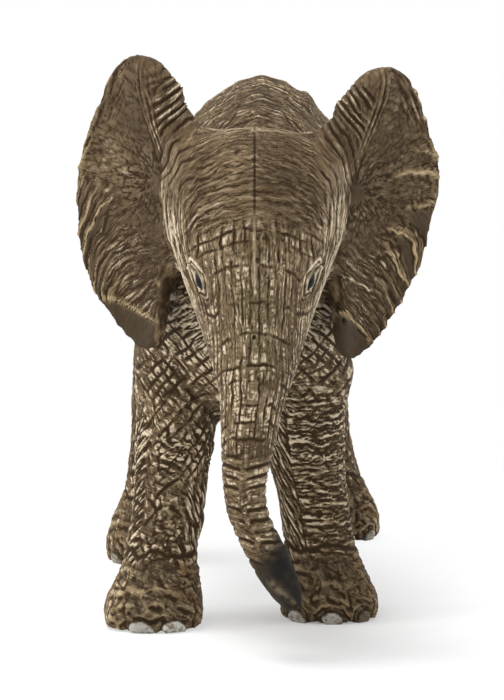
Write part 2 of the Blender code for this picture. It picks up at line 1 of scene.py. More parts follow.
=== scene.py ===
# %% [markdown]
# # A vinyl elephant calf
# The figure is a glued-up moulding with one continuous painted hide over it. Its CAD solids are smooth and
# plain. Here they are covered by a finer skin that carries the wrinkles of the real moulding, then painted
# the way such figures are: a brown base coat, a dark wash that settles in the grooves and also paints the
# shade in them, and a pale dry-brush that only catches the ridges and also paints their highlights.

# %% Load the imported frame
import math
import bmesh
import bpy
import numpy as np
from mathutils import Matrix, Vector
from mathutils.bvhtree import BVHTree


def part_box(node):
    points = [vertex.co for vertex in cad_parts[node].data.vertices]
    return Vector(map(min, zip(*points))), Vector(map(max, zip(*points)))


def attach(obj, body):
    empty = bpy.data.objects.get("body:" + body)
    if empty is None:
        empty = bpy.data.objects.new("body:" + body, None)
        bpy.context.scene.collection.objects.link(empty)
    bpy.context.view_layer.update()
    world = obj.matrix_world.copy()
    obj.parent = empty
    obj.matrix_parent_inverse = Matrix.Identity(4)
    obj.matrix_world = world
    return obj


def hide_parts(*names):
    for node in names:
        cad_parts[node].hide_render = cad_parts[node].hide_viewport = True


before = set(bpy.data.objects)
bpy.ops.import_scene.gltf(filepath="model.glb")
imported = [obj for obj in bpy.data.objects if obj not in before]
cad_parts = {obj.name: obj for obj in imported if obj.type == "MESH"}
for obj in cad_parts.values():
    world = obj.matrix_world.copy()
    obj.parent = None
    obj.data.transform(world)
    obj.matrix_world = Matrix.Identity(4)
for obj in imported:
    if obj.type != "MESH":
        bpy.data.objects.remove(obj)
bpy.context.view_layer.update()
MM = 0.001
HIDE_NODES = ["torso", "head", "ear_left", "ear_right", "foreleg_left", "foreleg_right",
              "hindleg_left", "hindleg_right", "tail"]
SIDES = ("left", "right")
print("nodes:", sorted(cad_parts))


# %% [markdown]
# Three small tools serve every step below. One reads a mesh's values into an array, one puts a mesh into the
# scene, and one keeps what an object's modifiers make as a plain mesh.

# %% Tools for meshes
def read(items, key, width=1, kind=float):
    """One value, or one row of values, for each item."""
    values = np.empty(len(items) * width, kind)
    items.foreach_get(key, values)
    return values.reshape(-1, width) if width > 1 else values


def add_object(name, data):
    obj = bpy.data.objects.new(name, data)
    bpy.context.scene.collection.objects.link(obj)
    return obj


def made_mesh(obj):
    """The mesh that an object's modifiers make. The object itself goes."""
    mesh = bpy.data.meshes.new_from_object(obj.evaluated_get(bpy.context.evaluated_depsgraph_get()))
    bpy.data.objects.remove(obj)
    return mesh


print("mesh tools ready")

# %% [markdown]
# ## One skin over all the pieces
# On the real figure the joints are closed with glue and paint, so wrinkles run over them without a step. A
# copy of every solid is grown by a quarter of a millimetre, which closes the glue gaps, and a voxel remesh
# melts the copies into one surface of even little squares. Sculptors do the same before they start on detail.

# %% Grow copies of the solids and melt them together
GROW = 0.25 * MM
WELD = 0.002 * MM
SKIN_STEP = 0.34 * MM


def melted_skin():
    """One surface round all the grown solids, and a search tree of each solid as it was."""
    solids, everything = {}, bmesh.new()
    for name in HIDE_NODES:
        shape = bmesh.new()
        shape.from_mesh(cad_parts[name].data)
        bmesh.ops.remove_doubles(shape, verts=shape.verts, dist=WELD)
        solids[name] = BVHTree.FromBMesh(shape)
        for vertex in shape.verts:
            vertex.co += vertex.normal * GROW
        mesh = bpy.data.meshes.new(name + "_grown")
        shape.to_mesh(mesh)
        shape.free()
        everything.from_mesh(mesh)
        bpy.data.meshes.remove(mesh)
    mesh = bpy.data.meshes.new("grown")
    everything.to_mesh(mesh)
    everything.free()
    obj = add_object("grown", mesh)
    melt = obj.modifiers.new("melt", "REMESH")
    melt.mode = "VOXEL"
    melt.voxel_size = SKIN_STEP
    return made_mesh(obj), solids


skin, solids = melted_skin()
print("melted skin:", len(skin.vertices), "points")


# %% [markdown]
# The melt also leaves small closed bubbles where plugs sit in their sockets. Only the outer surface is kept:
# it is the part that can be reached from the highest point by walking along edges.

# %% Keep the outer surface
def outer_part(mesh):
    points, edges = read(mesh.vertices, "co", 3), read(mesh.edges, "vertices", 2, np.int64)
    label = np.arange(len(points))
    while True:
        low = np.minimum(label[edges[:, 0]], label[edges[:, 1]])
        new = label.copy()
        np.minimum.at(new, edges[:, 0], low)
        np.minimum.at(new, edges[:, 1], low)
        new = new[new]
        if (new == label).all():
            break
        label = new
    keep = label == label[points[:, 2].argmax()]
    faces = read(mesh.polygons, "vertices", 4, np.int64)
    return points[keep], (np.cumsum(keep) - 1)[faces[keep[faces[:, 0]]]]


points, quads = outer_part(skin)
print("outer skin:", len(points), "points,", len(quads), "squares")

# %% [markdown]
# ## Take the facets out
# The solids have flat facets a few millimetres wide, which would show through the paint. Plain smoothing would
# also shrink the thin ears, so each step of smoothing is followed by a slightly stronger step back. This
# keeps broad shapes at their size and removes only what is small.

# %% Smooth the skin without shrinking it
SMOOTHING_ROUNDS = 34
STEP_IN, STEP_BACK = 0.6, -0.63


def links_of(faces):
    """Both ends of every edge, and how many edges meet at each point."""
    pairs = np.concatenate([faces[:, [k, (k + 1) % 4]] for k in range(4)])
    start, end = np.unique(np.sort(pairs, axis=1), axis=0).T
    return start, end, np.bincount(start, minlength=len(points)) + np.bincount(end, minlength=len(points))


def neighbour_mean(values, links):
    start, end, meeting = links
    total = np.empty_like(values)
    for axis in range(values.shape[1]):
        total[:, axis] = np.bincount(start, values[end, axis], len(values))
        total[:, axis] += np.bincount(end, values[start, axis], len(values))
    return total / meeting[:, None]


def relaxed(values, links, share):
    """Each point moved by a share of the way to the mean of its neighbours."""
    return values + share * (neighbour_mean(values, links) - values)


skin_links = links_of(quads)
for _ in range(SMOOTHING_ROUNDS):
    for share in (STEP_IN, STEP_BACK):
        points = relaxed(points, skin_links, share)
print("skin box, mm:", np.round(points.min(0) / MM, 1), np.round(points.max(0) / MM, 1))


# %% [markdown]
# On the figure the thick upper lobes of the ears run into the forehead without a step. Between the round head
# and the ears the melted skin still has a valley, so that strip alone gets plain smoothing, which fills it.

# %% Fill the valleys beside the forehead
def middle_of(name):
    low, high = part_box(name)
    return (low + high) / 2 / MM


EYES = {side: middle_of("eye_" + side) for side in SIDES}
FACE_X = (EYES["left"].x + EYES["right"].x) / 2
VALLEY_LOW, VALLEY_HIGH = (9.4, 45.0), (5.6, 55.0)
VALLEY_REACH, VALLEY_FADE = 1.6, 1.6
VALLEY_BACK, VALLEY_BACK_FADE = -27.0, 1.5
VALLEY_SHARE = 0.6
VALLEY_ROUNDS = 220


def valley_share(points):
    """1 on the strip where an ear's lobe meets the forehead, fading to 0 beside it."""
    x, y, z = (points / MM).T
    run_x, run_z = VALLEY_HIGH[0] - VALLEY_LOW[0], VALLEY_HIGH[1] - VALLEY_LOW[1]
    length = math.hypot(run_x, run_z)
    out, up = np.abs(x - FACE_X) - VALLEY_LOW[0], z - VALLEY_LOW[1]
    along = (out * run_x + up * run_z) / length
    across = (out * run_z - up * run_x) / length
    beyond = np.maximum(np.maximum(-along, along - length), 0)
    share = np.clip(1 - (np.hypot(across, beyond) - VALLEY_REACH) / VALLEY_FADE, 0, 1)
    return share * np.clip((VALLEY_BACK - y) / VALLEY_BACK_FADE, 0, 1)


before, share = points, VALLEY_SHARE * valley_share(points)[:, None]
for _ in range(VALLEY_ROUNDS):
    points = relaxed(points, skin_links, share)
print("valleys filled by up to, mm:", round(float(np.abs(points - before).max() / MM), 2))

# %% [markdown]
# ## Which piece each square belongs to
# The skin is cut up again later, so that each moulding keeps its own piece. A square belongs to the solid
# whose surface is nearest to it, so the cuts follow the real joints.

# %% Find the nearest solid for every square
SEARCH_REACH = 2 * MM


def nearest_solid(places):
    best, owner = np.full(len(places), 1.0), np.zeros(len(places), np.int32)
    for number, name in enumerate(HIDE_NODES):
        low, high = (np.array(corner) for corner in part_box(name))
        near = ((places > low - SEARCH_REACH) & (places < high + SEARCH_REACH)).all(axis=1)
        for index in np.flatnonzero(near):
            distance = solids[name].find_nearest(places[index])[3]
            if distance < best[index]:
                best[index], owner[index] = distance, number
    return owner


owner = nearest_solid(points[quads].mean(axis=1))
print("squares of each:", dict(zip(HIDE_NODES, np.bincount(owner, minlength=len(HIDE_NODES)).tolist())))

# %% [markdown]
# ## Finer squares where the detail is
# A groove needs at least four points across it. Halving every square of the head, ears and legs and of the
# chest gives them that, while the flanks and rump stay coarser, which keeps the torso to a sensible size. The
# eyelids are the smallest forms, so the squares round the eyes are halved once more.

# %% Halve the squares that carry fine detail
CHEST_BACK = -8 * MM
CHEST_FACING = -0.45
SOCKET_INWARD, SOCKET_AHEAD, SOCKET_RISE = 0.25, -0.3, 0.3
SOCKET_REACH = 2.0 * MM


def finer_skin(points, quads, owner):
    mesh = bpy.data.meshes.new("hide")
    mesh.from_pydata(points, [], quads)
    mesh.polygons.foreach_set("material_index", owner)
    corners = points[quads]
    across = np.cross(corners[:, 2] - corners[:, 0], corners[:, 3] - corners[:, 1])
    forward = across[:, 1] / np.linalg.norm(across, axis=1)
    chest = (corners[:, :, 1].mean(axis=1) < CHEST_BACK) & (forward < CHEST_FACING)
    shape = bmesh.new()
    shape.from_mesh(mesh)
    shape.faces.ensure_lookup_table()
    fine = {edge for index in np.flatnonzero((owner != 0) | chest) for edge in shape.faces[index].edges}
    bmesh.ops.subdivide_edges(shape, edges=list(fine), cuts=1, use_grid_fill=True)
    sockets = [(eye + Vector((-math.copysign(SOCKET_INWARD, eye.x), SOCKET_AHEAD, SOCKET_RISE))) * MM
               for eye in EYES.values()]
    finest = [edge for edge in shape.edges
              if min((edge.verts[0].co - middle).length for middle in sockets) < SOCKET_REACH]
    bmesh.ops.subdivide_edges(shape, edges=finest, cuts=1, use_grid_fill=True)
    shape.to_mesh(mesh)
    shape.free()
    return mesh


hide = finer_skin(points, quads, owner)
hide.update()
count = len(hide.vertices)
print("hide:", count, "points,", len(hide.polygons), "faces")


# %% [markdown]
# ## Tools for drawing wrinkles
# Wrinkles are drawn as heights over the skin. Three small tools are enough: smooth noise, which bends and
# breaks lines; rows of grooves, which make folds; and cells, which make the cracked blocks of old hide. All
# of them take flat coordinates in millimetres, so each region first gets its own pair of coordinates.

# %% Noise, grooves and cells
def chance(i, j, seed):
    """A repeatable random number from 0 to 1 for each pair of whole numbers."""
    n = np.asarray(i, np.int64) * 374761393 + np.asarray(j, np.int64) * 668265263 + seed * 2147483647
    n = (n ^ (n >> 13)) & 0x7FFFFFFF
    n = (n * 1274126177) & 0x7FFFFFFF
    n = n ^ (n >> 16)
    return (n & 0xFFFF) / 65535.0


def noise(u, v, seed):
    """Smooth noise from -1 to 1 that changes over about one unit."""
    i, j = np.floor(u), np.floor(v)
    a, b = u - i, v - j
    a, b = a * a * (3 - 2 * a), b * b * (3 - 2 * b)
    low = chance(i, j, seed) * (1 - a) + chance(i + 1, j, seed) * a
    high = chance(i, j + 1, seed) * (1 - a) + chance(i + 1, j + 1, seed) * a
    return 2 * (low * (1 - b) + high * b) - 1


def rough(u, v, seed):
    """Noise with two finer layers on it."""
    fine, finest = noise(2.1 * u, 2.1 * v, seed + 1), noise(4.3 * u, 4.3 * v, seed + 2)
    return (noise(u, v, seed) + 0.5 * fine + 0.25 * finest) / 1.6


def step(low, high, value):
    """0 below low, 1 above high, and a smooth slope between."""
    t = np.clip((value - low) / (high - low), 0, 1)
    return t * t * (3 - 2 * t)


def peak(value, middle, width):
    """1 where a value is at the middle, falling away smoothly on both sides."""
    return np.exp(-(((value - middle) / width) ** 2))


def grooves(w, along, seed, width=0.2, lost=0.25):
    """1 at every whole number of w and 0 between. Each groove fades in and out along its run."""
    k = np.round(w)
    return peak(w, k, width) * np.clip(1 - lost + 0.9 * noise(along, k * 3.7 + 0.5, seed), 0, 1)


def cell_borders(u, v, seed, jitter=0.8):
    """How far a point is from the border of its cell, 0 at the border."""
    i, j = np.floor(u), np.floor(v)
    best, second = np.full(u.shape, 9.0), np.full(u.shape, 9.0)
    for a in (i - 1, i, i + 1):
        for b in (j - 1, j, j + 1):
            x = a + 0.5 + jitter * (chance(a, b, seed) - 0.5)
            y = b + 0.5 + jitter * (chance(a, b, seed + 9) - 0.5)
            distance = np.hypot(u - x, v - y)
            second = np.where(distance < best, best, np.minimum(second, distance))
            best = np.minimum(best, distance)
    return second - best


def deepest(*layers):
    return np.maximum.reduce(layers)


def mixed(first, second, share):
    return first * (1 - share) + second * share


print("a row of grooves:", np.round(grooves(np.linspace(0, 2, 9), np.zeros(9), 1, 0.2, 0.0), 1))

# %% [markdown]
# ## Coordinates over the figure
# Places are read in millimetres. The head is measured by height and by the angle round its upright axis, the
# trunk and legs by height and by the angle round their own centre line.

# %% Places, facings and region weights
place, facing = read(hide.vertices, "co", 3), read(hide.vertices, "normal", 3)
X, Y, Z = (place / MM).T
NY, NZ = facing.T[1:]
loop_vertex = read(hide.loops, "vertex_index", kind=np.int64)
face_start, face_size, face_owner = (read(hide.polygons, key, kind=np.int64)
                                     for key in ("loop_start", "loop_total", "material_index"))
edge_ends = read(hide.edges, "vertices", 2, np.int64)
hide_links = (*edge_ends.T, np.bincount(edge_ends.ravel(), minlength=count))
BORDER_ROUNDS = 14


def blurred(values, rounds):
    """Each point's value averaged with its neighbours', again and again."""
    values = values[:, None]
    for _ in range(rounds):
        values = 0.5 * values + 0.5 * neighbour_mean(values, hide_links)
    return values[:, 0]


def share_of(name):
    """1 on a piece, 0 off it, with a soft edge about a millimetre wide."""
    value = np.zeros(count)
    value[loop_vertex] = np.repeat(face_owner == HIDE_NODES.index(name), face_size)
    return blurred(value, BORDER_ROUNDS)


on_head, on_tail = share_of("head"), share_of("tail")
on_ear = {side: share_of("ear_" + side) for side in SIDES}
on_foreleg = {side: share_of("foreleg_" + side) for side in SIDES}
print("points:", count, "middle of the face, mm:", round(FACE_X, 2), "eyes:", EYES)

# %% Centre lines of the trunk and the legs
TRUNK_ROOT, TRUNK_BACK = 31.5, -27
TRUNK_LOW, TRUNK_HIGH, TRUNK_BANDS = 6.2, 29.5, 24
LEG_LOW, LEG_HIGH, LEG_BANDS = 1.0, 17.0, 12


def centre_line(chosen, low, high, bands):
    """Middle and radius of a limb, band by band up its height, as functions of the height."""
    heights = np.linspace(low, high, bands)
    reach = (heights[1] - heights[0]) * 0.75
    rows = []
    for height in heights:
        band = chosen & (np.abs(Z - height) < reach)
        west, east, front, back = X[band].min(), X[band].max(), Y[band].min(), Y[band].max()
        rows.append(((west + east) / 2, (front + back) / 2, (east - west + back - front) / 4))
    return [lambda z, column=column: np.interp(z, heights, column) for column in np.array(rows).T]


def around(line):
    """Arc length in millimetres round a centre line, 0 at the front."""
    return np.arctan2(X - line[0](Z), line[1](Z) - Y) * line[2](Z)


on_trunk = on_head * step(TRUNK_ROOT + 1.0, TRUNK_ROOT - 2.5, Z) * (Y < TRUNK_BACK)
trunk_points = (on_head > 0.9) & (Y < -30) & (Z < 30)
trunk_across = around(centre_line(trunk_points, TRUNK_LOW, TRUNK_HIGH, TRUNK_BANDS))
leg_across = {side: around(centre_line(on_foreleg[side] > 0.9, LEG_LOW, LEG_HIGH, LEG_BANDS)) for side in SIDES}
print("trunk reach, mm:", round(float(np.abs(trunk_across[on_trunk > 0.5]).max()), 1))


# %% [markdown]
# ## Two kinds of wrinkle
# Old hide mixes long folds at even distances with short lines that branch and meet. Rows of grooves give the
# first kind. The second comes from noise that is stretched along the run of the lines: wherever it changes
# sign there is a line, and such lines join and part by themselves.

# %% Branching lines
def strands(u, v, seed, run=3.0, width=0.5):
    """Branching lines about one unit of u apart that run along v."""
    u, v = 2 * u, 2 * v / run
    bent = noise(u + 0.6 * noise(u / 3, v, seed + 7), v + 0.17 * u, seed)
    return peak(bent + 0.45 * noise(2.1 * u, 2.1 * v, seed + 3), 0, width)


print("lines over the trunk, mean:", round(float(strands(trunk_across, Z, 1)[on_trunk > 0.5].mean()), 2))

# %% [markdown]
# ## The face
# Wrinkles on the forehead run level over the middle and drop at the temples, where they turn into long fine
# lines down the cheeks. Between the eyes they meet the upright bars of the trunk's root, which arched folds
# cut into blocks. Further down, rings dip towards a ridge along the middle of the trunk.

# %% Wrinkles of the forehead and cheeks
HEAD_MIDDLE_Y = -32.7
HEAD_RADIUS = 9.5
DROP_AT = [0, 3.3, 6.0, 7.6, 9.0, 10.0]
DROP = [0, 0.6, 2.0, 4.2, 7.8, 12.0]
FOREHEAD_PERIOD, CHEEK_PERIOD, BROW_PERIOD = 0.93, 1.0, 1.25
face_x = X - FACE_X
face_side = np.abs(face_x)
face_across = np.arctan2(face_x, HEAD_MIDDLE_Y - Y) * HEAD_RADIUS
temple_drop = np.interp(face_side, DROP_AT, DROP)


def forehead():
    """Level folds that drop at the temples and turn back over the crown."""
    crown_run = 0.9 * np.clip(Y + 38.5, 0, 12) * step(50, 53, Z)
    level = Z + crown_run + temple_drop + 0.35 * rough(face_across / 3.2, Z / 2.4, 11)
    level = level + 0.16 * rough(face_across / 1.0, Z / 0.8, 15)
    turns = level / FOREHEAD_PERIOD + 0.2 * noise(face_across / 1.1, Z / 0.9, 10)
    folds = grooves(turns, face_across / 2.2, 12, 0.2, 0.15)
    branching = strands(level / 0.62, face_across, 13, 5.0, 0.6)
    return deepest(folds, 0.8 * branching) * (0.7 + 0.4 * step(3.5, 7.0, face_side))


def cheek():
    """Long fine lines that run down from the temple."""
    bent = face_across + 0.5 * rough(face_across / 2, Z / 3.5, 16)
    return deepest(strands(bent / 0.62, Z, 17, 8.0), 0.7 * grooves(bent / CHEEK_PERIOD, Z / 3, 18, 0.17, 0.2))


def brow():
    """Short upright grooves over the eyes, cut by the last arcs of the forehead."""
    fan = face_x * (1 + 0.03 * (Z - 41)) + 0.25 * rough(face_x / 2, Z / 2, 19)
    upright = grooves(fan / BROW_PERIOD, Z / 2.2, 21, 0.13, 0.05)
    arc = (Z + 0.06 * face_x ** 2) / 1.2 + 0.3 * rough(face_x / 2, Z / 2, 22)
    return deepest(upright, 0.9 * grooves(arc, face_x / 1.6, 23, 0.16), 0.6 * strands(fan / 0.6, Z, 24))


forehead_net, cheek_net, brow_net = forehead(), cheek(), brow()
print("forehead, cheek and brow drawn")

# %% Bars and rings of the trunk
FOLD_HEIGHTS = [19.0, 20.2, 21.4, 23.1, 24.8, 26.5, 29.2, 30.7, 33.8, 37.1, 40.8, 44.5]
BAR_PERIOD, BAR_WIDTH, FOLD_WIDTH = 0.98, 0.16, 0.27
RING_PERIOD, RING_MIDDLE = 1.12, -0.35


def trunk_bars(across):
    """Upright bars cut into blocks by arched folds that get closer together towards the tip."""
    bar = across + 0.24 * rough(across / 1.4, Z / 1.8, 25)
    bars = grooves(bar / BAR_PERIOD + 0.5, Z / 2.0, 26, BAR_WIDTH, 0.05)
    fine = strands(bar / 0.42, Z, 27, 7.0)
    level = Z + 0.06 * np.minimum(across ** 2, 30) + 0.34 * rough(across / 1.1, Z / 1.2, 28)
    rows = np.interp(level, FOLD_HEIGHTS, np.arange(len(FOLD_HEIGHTS)))
    gap = np.interp(level, FOLD_HEIGHTS, np.gradient(FOLD_HEIGHTS))
    strength = np.clip(0.7 + 0.8 * noise(across / 1.3, np.round(rows), 29), 0, 0.8)
    fold = peak((rows - np.round(rows)) * gap, 0, FOLD_WIDTH) * strength
    return deepest(0.8 * bars, 0.55 * fine, fold, 0.5 * strands(level / 0.75, across / 1.5, 30, 2.5, 0.35))


def trunk_rings(across):
    """Rings that dip towards a ridge down the middle of the lower trunk."""
    off = np.abs(across - RING_MIDDLE)
    level = Z + 0.55 * np.exp(-off / 0.7) + 0.14 * rough(across / 1.5, Z / 2, 31)
    rings = grooves(level / RING_PERIOD, across / 2.0, 32, 0.22, 0.0) * step(0.12, 0.5, off)
    return deepest(rings, 0.5 * strands(level / 0.55, across, 33), 0.4 * strands(across / 0.5, Z, 35, 4))


on_cheek = step(6.2, 8.2, face_side + 0.12 * (44 - Z))
arched = Z + 0.05 * face_x ** 2
face_net = mixed(forehead_net, brow_net, step(46.5, 44.0, arched))
face_net = mixed(face_net, trunk_bars(face_across), step(43.6, 41.8, arched))
face_net = mixed(face_net, cheek_net, on_cheek * step(53, 49, Z))
trunk_net = mixed(trunk_bars(trunk_across), trunk_rings(trunk_across), step(22.0, 20.0, Z))
tip_slant = Z - 0.5 * trunk_across
trunk_net *= 0.25 + 0.75 * step(9.4, 11.8, tip_slant + 0.4 * noise(trunk_across, Z, 34))
behind_cheek = strands((Z + 0.8 * face_side) / 0.8, 0.8 * Z - face_side, 36, 4.0)
head_net = mixed(mixed(face_net, trunk_net, on_trunk), behind_cheek, step(-31, -29, Y) * step(43, 41, Z))
print("face and trunk drawn, mean groove:", round(float(head_net[on_head > 0.5].mean()), 2))

# %% [markdown]
# ## The body and legs
# The chest and shoulders carry two slanting families of folds that cross into lozenges. The right foreleg
# keeps that net and gets slanting folds at its sides. The left one is crossed by close wavy ridges that part
# along an upright line. The flanks have long upright folds.

# %% Folds of the chest and flanks
def lozenges(u, v, seed, size=1.0):
    """Two crossing families of slanting folds, with smaller lines between them."""
    u = u + 0.45 * rough(u / 2.6, v / 2.6, seed)
    v = v + 0.45 * rough(u / 2.6, v / 2.6, seed + 20)
    rising = 0.78 * u + 0.62 * v
    first = grooves(rising / size, (u - v) / 2.0, seed + 1, 0.2, 0.3)
    second = grooves((0.72 * u - 0.70 * v) / (1.1 * size), (u + v) / 2.0, seed + 2, 0.2, 0.3)
    return deepest(first, second, 0.6 * strands(rising / (0.5 * size), u - v, seed + 3))


def crumple(u, v, seed, size=0.8):
    """Short folds in every direction, as where hide bunches up."""
    shift = 0.7 * rough(u / 1.7, v / 1.7, seed + 11)
    border = cell_borders((u + shift) / size, (v + shift) / (0.62 * size), seed)
    return deepest(0.9 * step(0.3, 0.0, border), 0.7 * strands((v + 0.4 * u) / (0.8 * size), u, seed + 4))


def flank_folds(along, up, seed):
    """Long folds down the barrel, with shorter ones between and across them."""
    bent = along + 0.6 * rough(along / 4, up / 5, seed)
    long, short = grooves(bent / 2.1, up / 5, seed + 1, 0.16, 0.2), strands(bent / 1.3, up, seed + 2, 5.0, 0.45)
    return deepest(long, 0.8 * short, 0.55 * strands(up / 1.4, along, seed + 5, 2.5, 0.40))


front_low = 0.15 - 0.35 * step(-7, -13, Y) * step(47, 43, Z)
front_share = step(front_low, front_low + 0.35, -NY)
off_front = 1 - front_share
rear_share = step(0.35, 0.75, NY)
top_share = step(0.5, 0.8, NZ) * off_front * (1 - rear_share)
side_share = 1 - front_share - top_share - rear_share
body_net = (front_share * lozenges(X, Z, 40) + rear_share * lozenges(X, Z, 45, 1.8)
            + top_share * flank_folds(Y + 0.05 * X ** 2, X, 50)
            + side_share * flank_folds(Y - 0.12 * (Z - 38), Z, 60))
print("chest and flanks drawn, mean groove:", round(float(body_net.mean()), 2))

# %% Folds of the legs
PARTING_PLACE, PARTING_WIDTH = -1.6, 0.16


def wavy_leg(across):
    """Close wavy ridges that part along an upright line, with slanting folds inside it."""
    off = across - (PARTING_PLACE + 0.25 * noise(Z / 3, 0, 69))
    wave = 0.26 * rough(across / 1.3, Z / 3, 70) + 0.10 * np.abs(np.sin(across * 1.5))
    ridges = grooves((Z + wave) / 0.68, across / 1.2, 71, 0.22, 0.35)
    level = deepest(ridges, 0.85 * strands((Z + wave) / 0.46, across, 72, 3.6))
    slant = strands((0.85 * across + 0.5 * Z) / 0.62, 0.5 * across - 0.85 * Z, 73, 5.0, 0.55)
    parting = peak(off, 0, PARTING_WIDTH) * step(17, 15, Z)
    return deepest(mixed(slant, level, step(-0.2, 0.2, off)), 0.9 * parting)


def lozenge_leg(across):
    """The chest's net run down a leg, bunched up in places, with slanting folds at both sides."""
    bunched = step(-0.1, 0.35, noise(across / 2.6, Z / 4.5, 78)) * step(22, 19, Z)
    wander = 0.5 * rough(across / 1.3, Z / 1.5, 77)
    net = mixed(0.85 * lozenges(across + wander, 0.9 * Z + wander, 80, 0.95), crumple(across, Z, 79, 1.1), bunched)
    slant = strands((0.8 * Z - 0.62 * across) / 0.62, across + Z, 84, 5.0, 0.55)
    inner = strands((0.8 * across + 0.62 * Z) / 0.6, 0.6 * across - 0.8 * Z, 86, 5.0, 0.55)
    net = mixed(net, slant, step(-2.4, -3.6, across) * step(24, 20, Z))
    net = mixed(net, inner, step(1.2, 2.4, across) * step(17, 13, Z))
    return mixed(net, crumple(across, Z, 88, 1.0), 0.8 * step(13, 10, Z) * step(2.6, 1.4, np.abs(across)))


def reach_of_leg(side):
    """How strongly a point follows its foreleg's lines: fully on the leg, fading out over the shoulder."""
    shoulder = 0.9 * step(30, 20, Z) * (NY < 0.6) * step(-2, -8, Y) * ((X > 0) == (side == "left"))
    return np.clip(on_foreleg[side] + shoulder * (on_head < 0.5), 0, 1)


leg_reach = {side: reach_of_leg(side) for side in SIDES}
neck_net = lozenges(0.9 * Y + 0.5 * np.abs(X), Z, 47, 0.85)
body_net = mixed(body_net, neck_net, step(-9, -14, Y) * off_front)
for side, leg in zip(SIDES, (wavy_leg, lozenge_leg)):
    body_net = mixed(body_net, leg(leg_across[side]), leg_reach[side])
print("forelegs drawn, mean groove:", round(float(body_net.mean()), 2))

# %% Folds of the feet
ANKLE = 7.9
FEET = {"foreleg_left": (7.87, -13.99), "foreleg_right": (-10.93, -18.99),
        "hindleg_left": (9.57, 37.21), "hindleg_right": (-12.03, 21.41)}
FOOT_REACH, FOOT_RADIUS = 9, 5.6
TOE_GAPS = {"foreleg_right": [-0.62, 0.13, 0.95], "foreleg_left": [-0.32, 0.40, 1.05],
            "hindleg_left": [0.45, 1.25], "hindleg_right": [-1.25, -0.45]}
TOE_GAP_WIDTH = 0.32
ANKLE_FOLDS = [(ANKLE, 0.38, 1.0, 94), (ANKLE + 1.1, 0.2, 0.55, 95), (ANKLE - 1.2, 0.2, 0.5, 96)]


def about_foot(name):
    """The angle round a foot from its front, and whether a point is on it."""
    x, y = FEET[name]
    return np.arctan2(X - x, y - Y), np.hypot(X - x, Y - y) < FOOT_REACH


off_head = (1 - on_head) * (on_tail < 0.5)
foot_turn = np.zeros(count)
for name in FEET:
    turn, near = about_foot(name)
    foot_turn = np.where(near, turn, foot_turn)
foot = step(ANKLE - 0.2, ANKLE - 1.6, Z + 0.5 * noise(foot_turn * 3, Z, 89)) * off_head
toe_gap = np.zeros(count)
for name, gaps in TOE_GAPS.items():
    turn, near = about_foot(name)
    for turned in gaps:
        off = (turn - turned) * FOOT_RADIUS + 0.5 * noise(Z / 1.5, turned, 91)
        off += 0.3 * noise(Z / 0.5, foot_turn * 3, 97)
        toe_gap = np.maximum(toe_gap, peak(off, 0, TOE_GAP_WIDTH) * near * step(5.0, 2.8, Z))
level = strands((Z + 0.3 * noise(foot_turn * 3, Z, 92)) / 0.9, foot_turn * 5, 93, 4, 0.40)
upright = strands(foot_turn * 5 / 1.1 + 0.4 * Z, Z, 90, 2.2, 0.4)
foot_net = deepest(toe_gap, 0.6 * upright, 0.7 * level * step(2.0, 4.5, Z))
ankle_wave = 0.22 * noise(foot_turn * 5, 0, 98)
ankle = deepest(*[peak(Z - height - ankle_wave - 0.45 * noise(foot_turn * 1.3, 0, seed), 0, wide) * deep
                  for height, wide, deep, seed in ANKLE_FOLDS])
body_net = deepest(mixed(body_net, 0.75 * foot_net, foot), ankle * off_head)
print("body drawn, mean groove:", round(float(body_net.mean()), 2))

# %% [markdown]
# ## The ears
# Each ear is drawn in the flat coordinates of an unrolled right ear: how far out and how far up a point lies.
# The left ear's points are turned back by its roll first. The thick upper lobe has deep cross folds. The root
# has fine crumpled lines that fan out. Beyond them long lines bend down to the rim, where every other one is
# a pale streak with a smooth dark patch below it, and the edge of the rim is scalloped.

# %% Measures of the ears
EAR_SPREAD, EAR_HEIGHT, EAR_LOW = 18.9, 31.1, 30.1
LEFT_EAR_ROLL, LEFT_EAR_DROP, LEFT_EAR_REACH = math.radians(5.6), 0.9, 0.2
FOLD_UP = [0.0, 0.045, 0.105, 0.18, 0.262, 0.345, 0.445, 0.545, 0.625, 0.722, 0.80, 0.88, 0.95, 1.0]
FOLD_OUT = [0.585, 0.57, 0.565, 0.56, 0.545, 0.52, 0.514, 0.512, 0.53, 0.58, 0.625, 0.668, 0.672, 0.64]
RIM_UP = [0.0, 0.036, 0.084, 0.148, 0.215, 0.305, 0.40, 0.50, 0.61, 0.705, 0.775, 0.89, 0.955, 1.0]
RIM_OUT = [0.64, 0.70, 0.772, 0.838, 0.905, 0.96, 0.985, 1.0, 0.985, 0.94, 0.89, 0.822, 0.76, 0.69]
EAR_ROOT = (9.7, 47.9)
DROP_UP = [0.0, 0.15, 0.3, 0.45, 0.6, 0.8, 1.0]
LOBE_UP = [0.5, 0.65, 0.9]
LOBE_SLOPE = {"right": [0.3, 0.55, 0.5], "left": [0.4, 0.85, 1.1]}
FOLD_DROP = {"right": [1.3, 1.0, 0.6, 0.35, 0.0, -0.6, -1.0], "left": [1.0, 0.9, 0.7, 0.3, -0.1, -0.6, -1.0]}
RIM_DROP = {"right": [3.2, 2.8, 1.9, 1.8, 1.7, 2.2, 3.0], "left": [1.5, 1.0, 1.3, 0.3, 0.2, 0.8, 1.5]}
TIP_LINE, TIP_TOP = {"right": (10.2, 33.0, 0.45), "left": (8.8, 36.6, -1.0)}, 35.0
STREAK_PERIOD = 1.75
STREAK_START = {"right": 0.5, "left": 0.35}
ROOT_SHADE = {"right": 0.2, "left": 0.25}


